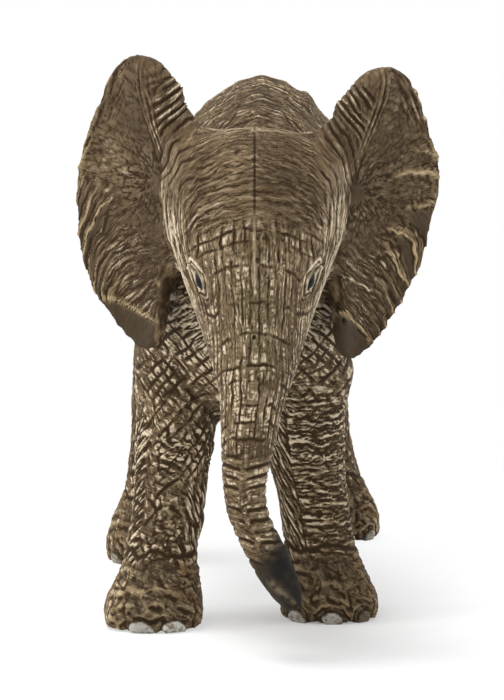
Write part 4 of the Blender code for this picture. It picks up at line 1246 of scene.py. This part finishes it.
def hide_paint(name, base, tan_share):
    paint = Recipe(name)
    fine = paint.noise(1400.0, 3.0)
    speckle = paint.noise(520.0, 2.0)
    broad = paint.noise(150.0, 2.0)
    lines = fine_lines(paint)
    # The dark wash with the painted shade of the grooves, and the dry brush with the painted highlights of the ridges.
    groove_share = (paint.guide("groove") * 1.5 + (fine - 0.5) * 0.9 + lines * 0.6 - 0.08).clipped()
    ridge_share = (paint.guide("ridge") * 1.3 + (broad - 0.5) * 1.6 + (speckle - 0.5) * 1.2 + (fine - 0.5) * 1.1 - 0.15).clipped()
    dry = 1.0 - paint.guide("dark") * 0.9
    coat = paint.blend((broad * 2.4 - 0.7).clipped(), UMBER, base)
    coat = paint.blend((paint.guide("olive") * 0.5).clipped(), coat, OLIVE)
    coat = paint.blend((ridge_share * tan_share * dry).clipped(), coat, TAN)
    coat = paint.blend(((ridge_share - 0.62) * 2.2 * dry).clipped(), coat, CREAM)
    # Darker paint for the smooth patches, the trunk's tip and the feet, and the painted shade by the ear roots.
    coat = paint.blend(paint.guide("dark") * 0.85, coat, colour(0.040, 0.030, 0.020))
    coat = paint.blend((paint.guide("warm") * 0.75).clipped(), coat, RUST)
    # Pale streaks on the ears and feet, and the painted highlight along the ear rims.
    coat = paint.blend((paint.guide("vein") * (speckle * 1.2 + 0.3)).clipped(), coat, STREAK)
    coat = paint.blend(groove_share, coat, SHADE)
    # Slate on the trunk's tip, darker on its left side as painted shade.
    coat = paint.blend(paint.guide("tip") * 0.85, coat, SLATE)
    # Pale mould flash down the middle of the face, pale marks on the trunk's lip, and a painted highlight along the
    # crest of the crown.
    coat = paint.blend((paint.guide("flash_and_crest_highlight") * 0.8 * (speckle + 0.3)).clipped(), coat, TAN)
    coat = paint.blend((paint.guide("lid") * 1.1).clipped(), coat, CREAM)
    plate = paint.blend(((fine - 0.47) * 7.0 + (speckle - 0.5) * 3.0).clipped(), NAIL, NAIL_DIRT)
    coat = paint.blend((paint.guide("nail") * (fine * 0.8 + 0.6)).clipped(), coat, plate)
    height = fine * 0.5 + speckle * 0.5 - lines * 0.9
    bump = paint.node("Bump", "Normal", Strength=0.5, Distance=0.00012, Height=height)
    return paint.finish(Base_Color=coat, Roughness=0.6, Normal=bump, Specular_IOR_Level=0.04)


body_paint = hide_paint("hide_paint", colour(0.186, 0.131, 0.071), 1.0)
ear_paint = hide_paint("ear_paint", colour(0.114, 0.077, 0.042), 0.65)
for name, piece in pieces.items():
    piece.data.materials.append(ear_paint if name.startswith("ear") else body_paint)
print("painted:", len(pieces))


# %% Mix the eye paint
def eye_paint(side):
    paint = Recipe("eye_paint_" + side)
    centre = bead_middle(side)[2] * MM
    gaze = Vector((EYES[side].x - FACE_X, EYES[side].y - HEAD_MIDDLE_Y - 1.6, -0.3)).normalized()
    offset = paint.node("VectorMath", 0, {"operation": "SUBTRACT"})
    node = offset.socket.node
    paint.feed(node.inputs[0], paint.position())
    node.inputs[1].default_value = centre
    along = paint.tree.nodes.new("ShaderNodeVectorMath")
    along.operation = "DOT_PRODUCT"
    paint.feed(along.inputs[0], offset)
    along.inputs[1].default_value = gaze
    depth = Signal(paint, along.outputs["Value"]) / (BEAD_RADIUS * MM)
    pupil = ((depth - 0.90) * 30.0).clipped()
    iris = ((depth - 0.62) * 12.0).clipped()
    coat = paint.blend(iris, colour(0.006, 0.006, 0.008), colour(0.012, 0.014, 0.020))
    coat = paint.blend(pupil, coat, colour(0.008, 0.008, 0.01))
    return paint.finish(Base_Color=coat, Roughness=0.3, Coat_Weight=0.06, Coat_Roughness=0.05, Specular_IOR_Level=0.06)


for side, eye in eyes.items():
    eye.data.materials.append(eye_paint(side))
print("eyes painted")

# %% [markdown]
# ## The tuft of the tail
# The tail ends in a tuft of coarse hair, moulded as separate pointed locks. One lock repeated along a path is
# work for Geometry Nodes: points run down the core of the tuft, each steps aside in a new direction, and a
# curved, tapering lock hangs from every one.

# %% Describe the locks as a node tree
TUFT_TOP, TUFT_END = (0.67, 40.35, 27.4), (0.67, 40.4, 23.4)
GOLDEN_TURN = 2.399963


def tree_node(tree, kind, settings=None, **inputs):
    """One node with its settings, then its sockets by their identifiers."""
    node = tree.nodes.new(kind)
    for key, value in (settings or {}).items():
        setattr(node, key, value)
    for socket in node.inputs:
        value = inputs.get(socket.identifier.replace(" ", "_"))
        if isinstance(value, bpy.types.NodeSocket):
            tree.links.new(value, socket)
        elif value is not None:
            socket.default_value = value
    return node


def random_number(tree, low, high, seed):
    node = tree_node(tree, "FunctionNodeRandomValue", {"data_type": "FLOAT"}, Min_001=low, Max_001=high, Seed=seed)
    return node.outputs[1]


def tuft_tree():
    tree = bpy.data.node_groups.new("tuft_locks", "GeometryNodeTree")
    sockets = [("Path", "Geometry"), ("Locks", "Int"), ("Lock Length", "Float"), ("Lock Width", "Float"), ("Spread", "Float"),
               ("Hair Paint", "Material")]
    for name, kind in sockets:
        tree.interface.new_socket(name, in_out="INPUT", socket_type="NodeSocket" + kind)
    tree.interface.new_socket("Tuft", in_out="OUTPUT", socket_type="NodeSocketGeometry")
    given = tree.nodes.new("NodeGroupInput").outputs
    path = tree_node(tree, "GeometryNodeMeshToCurve", Mesh=given["Path"])
    points = tree_node(tree, "GeometryNodeCurveToPoints", {"mode": "COUNT"}, Curve=path.outputs[0], Count=given["Locks"])
    index = tree.nodes.new("GeometryNodeInputIndex")
    turn = tree_node(tree, "ShaderNodeMath", {"operation": "MULTIPLY"}, Value=index.outputs[0], Value_001=GOLDEN_TURN)
    ways = [tree_node(tree, "ShaderNodeMath", {"operation": wave}, Value=turn.outputs[0]).outputs[0] for wave in ("COSINE", "SINE")]
    aside = tree_node(tree, "ShaderNodeCombineXYZ", X=ways[0], Y=ways[1])
    offset = tree_node(tree, "ShaderNodeVectorMath", {"operation": "SCALE"}, Vector=aside.outputs[0], Scale=given["Spread"])
    placed = tree_node(tree, "GeometryNodeSetPosition", Geometry=points.outputs[0], Offset=offset.outputs[0])
    bow = tree_node(tree, "ShaderNodeMath", {"operation": "MULTIPLY"}, Value=given["Lock Length"], Value_001=0.16)
    half = tree_node(tree, "ShaderNodeMath", {"operation": "MULTIPLY"}, Value=given["Lock Length"], Value_001=-0.45)
    full = tree_node(tree, "ShaderNodeMath", {"operation": "MULTIPLY"}, Value=given["Lock Length"], Value_001=-1.0)
    middle = tree_node(tree, "ShaderNodeCombineXYZ", X=bow.outputs[0], Z=half.outputs[0])
    end = tree_node(tree, "ShaderNodeCombineXYZ", Z=full.outputs[0])
    strand = tree_node(tree, "GeometryNodeCurveQuadraticBezier", Resolution=7, Start=(0, 0, 0), Middle=middle.outputs[0], End=end.outputs[0])
    run = tree.nodes.new("GeometryNodeSplineParameter")
    taper = tree_node(tree, "ShaderNodeMath", {"operation": "SUBTRACT"}, Value=1.04, Value_001=run.outputs["Factor"])
    swell = tree_node(tree, "ShaderNodeMath", {"operation": "ADD"}, Value=0.40, Value_001=run.outputs["Factor"])
    profile = tree_node(tree, "ShaderNodeMath", {"operation": "MULTIPLY"}, Value=taper.outputs[0], Value_001=swell.outputs[0])
    width = tree_node(tree, "ShaderNodeMath", {"operation": "MULTIPLY"}, Value=profile.outputs[0], Value_001=given["Lock Width"])
    ring = tree_node(tree, "GeometryNodeCurvePrimitiveCircle", {"mode": "RADIUS"}, Resolution=6, Radius=1.0)
    lock = tree_node(tree, "GeometryNodeCurveToMesh", Curve=strand.outputs[0], Profile_Curve=ring.outputs[0],
                     Scale=width.outputs[0], Fill_Caps=True)
    lock = tree_node(tree, "GeometryNodeSetShadeSmooth", Geometry=lock.outputs[0])
    lean = tree_node(tree, "ShaderNodeCombineXYZ", X=random_number(tree, -0.10, 0.10, 4), Y=random_number(tree, -0.05, 0.12, 5),
                     Z=turn.outputs[0])
    rotation = tree_node(tree, "FunctionNodeEulerToRotation", Euler=lean.outputs[0])
    hung = tree_node(tree, "GeometryNodeInstanceOnPoints", Points=placed.outputs[0], Instance=lock.outputs[0],
                     Rotation=rotation.outputs[0], Scale=random_number(tree, 0.75, 1.1, 6))
    real = tree_node(tree, "GeometryNodeRealizeInstances", Geometry=hung.outputs[0])
    painted = tree_node(tree, "GeometryNodeSetMaterial", Geometry=real.outputs[0], Material=given["Hair Paint"])
    tree.links.new(painted.outputs[0], tree.nodes.new("NodeGroupOutput").inputs["Tuft"])
    return tree


locks = tuft_tree()
print("nodes in the tuft's tree:", len(locks.nodes))

# %% [markdown]
# The locks are darker than the hide, with a little of the dry brush along their length. The tree runs on a
# short upright line, and its result is kept as a plain mesh.

# %% Hang the locks
def hair_paint():
    paint = Recipe("hair_paint")
    stretched = paint.node("Mapping", "Vector", Vector=paint.position(), Scale=(1.0, 1.0, 0.12))
    hairs = paint.node("TexNoise", 0, Vector=stretched, Scale=2600.0, Detail=2.0, Roughness=0.6)
    coat = paint.blend(((hairs - 0.42) * 5.0).clipped(), SHADE, UMBER)
    coat = paint.blend(((hairs - 0.60) * 6.0).clipped(), coat, TAN)
    bump = paint.node("Bump", "Normal", Strength=0.6, Distance=0.0001, Height=hairs)
    return paint.finish(Base_Color=coat, Roughness=0.65, Normal=bump, Specular_IOR_Level=0.1)


def hang_locks():
    path = bpy.data.meshes.new("tuft_path")
    path.from_pydata([Vector(TUFT_TOP) * MM, Vector(TUFT_END) * MM], [(0, 1)], [])
    obj = bpy.data.objects.new("tuft_path", path)
    bpy.context.scene.collection.objects.link(obj)
    grower = obj.modifiers.new("locks", "NODES")
    grower.node_group = locks
    paint = hair_paint()
    wanted = {"Locks": 46, "Lock Length": 4.4 * MM, "Lock Width": 0.42 * MM, "Spread": 0.55 * MM, "Hair Paint": paint}
    for socket in locks.interface.items_tree:
        if socket.name in wanted:
            grower[socket.identifier] = wanted[socket.name]
    mesh = bpy.data.meshes.new_from_object(obj.evaluated_get(bpy.context.evaluated_depsgraph_get()))
    bpy.data.objects.remove(obj)
    shape = bmesh.new()
    shape.from_mesh(mesh)
    bmesh.ops.recalc_face_normals(shape, faces=shape.faces)
    for face in shape.faces:
        face.material_index = 0
    shape.to_mesh(mesh)
    shape.free()
    mesh.materials.clear()
    mesh.materials.append(paint)
    mesh.name = "tail_tuft"
    tuft = bpy.data.objects.new("tail_tuft", mesh)
    bpy.context.scene.collection.objects.link(tuft)
    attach(tuft, "root")
    return tuft


tuft = hang_locks()
print("tuft faces:", len(tuft.data.polygons), "material:", tuft.data.materials[0].name)

# %% [markdown]
# ## Studio
# A pale floor, a big soft key light from the upper left and a weak fill give the soft shadow of the
# photograph. What the camera sees behind the figure is plain white.

# %% Floor, light and camera
def make_floor():
    """Near the figure the floor takes its shadow. Further out, the camera sees plain white."""
    mesh = bpy.data.meshes.new("floor")
    half = 3.0
    mesh.from_pydata([(-half, -half, 0), (half, -half, 0), (half, half, 0), (-half, half, 0)], [], [(0, 1, 2, 3)])
    obj = bpy.data.objects.new("floor", mesh)
    bpy.context.scene.collection.objects.link(obj)
    paint = Recipe("floor_paint")
    paint.finish(Base_Color=colour(0.90, 0.90, 0.90), Roughness=0.9, Specular_IOR_Level=0.0)
    placed = paint.node("Mapping", "Vector", Vector=paint.position(), Location=(-0.003, 0.020, 0))
    middle = paint.node("VectorMath", "Value", {"operation": "LENGTH"}, Vector=placed)
    near = ((middle - 0.025) / 0.025).clipped()
    far = ((middle - 0.06) / 0.06).clipped()
    seen = paint.node("LightPath", "Is Camera Ray").math("MAXIMUM", paint.node("LightPath", "Is Glossy Ray"))
    seen = seen.math("MAXIMUM", paint.node("LightPath", "Is Transmission Ray"))
    # A patch in front of the left forefoot lets less of the white through, so the floor there shows darker: a painted
    # shadow.
    before = paint.node("Mapping", "Vector", Vector=paint.position(), Location=(-0.0068, 0.016, 0), Scale=(1.0, 0.5, 1.0))
    patch = 1.0 - ((paint.node("VectorMath", "Value", {"operation": "LENGTH"}, Vector=before) - 0.004) / 0.010).clipped()
    share = seen * (near * 0.35 + far * 0.15 + 0.5) * (1.0 - patch * 0.7)
    white = paint.node("Emission", "Emission", Color=colour(1, 1, 1), Strength=1.0)
    mix = paint.tree.nodes.new("ShaderNodeMixShader")
    paint.feed(mix.inputs[0], share)
    paint.tree.links.new(paint.shader.outputs[0], mix.inputs[1])
    paint.feed(mix.inputs[2], white)
    paint.tree.links.new(mix.outputs[0], paint.tree.nodes["Material Output"].inputs["Surface"])
    mesh.materials.append(paint.material)


def make_lamp(name, location, size, power):
    lamp = bpy.data.lights.new(name, "AREA")
    lamp.shape = "DISK"
    lamp.size = size
    lamp.energy = power
    obj = bpy.data.objects.new(name, lamp)
    obj.location = location
    aim = Vector((0, 0, 0.03)) - Vector(location)
    obj.rotation_euler = aim.to_track_quat("-Z", "Y").to_euler()
    bpy.context.scene.collection.objects.link(obj)


def make_camera():
    camera = bpy.data.cameras.new("camera")
    camera.lens = 214.5
    camera.sensor_fit = "VERTICAL"
    camera.sensor_height = 36.0
    camera.clip_start = 0.01
    obj = bpy.data.objects.new("camera", camera)
    obj.location = (-0.00043, -0.45529, 0.0837)
    obj.rotation_euler = (math.radians(82.90), 0, 0)
    bpy.context.scene.collection.objects.link(obj)
    bpy.context.scene.camera = obj


def make_world():
    world = bpy.data.worlds.new("studio")
    world.use_nodes = True
    tree = world.node_tree
    background = tree.nodes["Background"]
    background.inputs["Color"].default_value = (1, 1, 1, 1)
    path = tree.nodes.new("ShaderNodeLightPath")
    seen = path
    for ray in ("Is Glossy Ray", "Is Transmission Ray"):
        either = tree.nodes.new("ShaderNodeMath")
        either.operation = "MAXIMUM"
        tree.links.new(seen.outputs[0], either.inputs[0])
        tree.links.new(path.outputs[ray], either.inputs[1])
        seen = either
    strength = tree.nodes.new("ShaderNodeMapRange")
    strength.inputs["To Min"].default_value = 0.36
    strength.inputs["To Max"].default_value = 1.0
    tree.links.new(seen.outputs[0], strength.inputs["Value"])
    tree.links.new(strength.outputs[0], background.inputs["Strength"])
    bpy.context.scene.world = world


make_floor()
make_lamp("key", (-0.14, 0.06, 0.71), 0.40, 4.7)
make_lamp("front", (-0.30, -0.70, 0.35), 0.60, 2.6)
make_lamp("left", (-0.70, -0.16, 0.22), 0.50, 3.8)
make_lamp("right", (0.70, -0.16, 0.22), 0.50, 2.8)
make_world()
make_camera()
bpy.context.scene.view_settings.view_transform = "Standard"
print("studio ready")
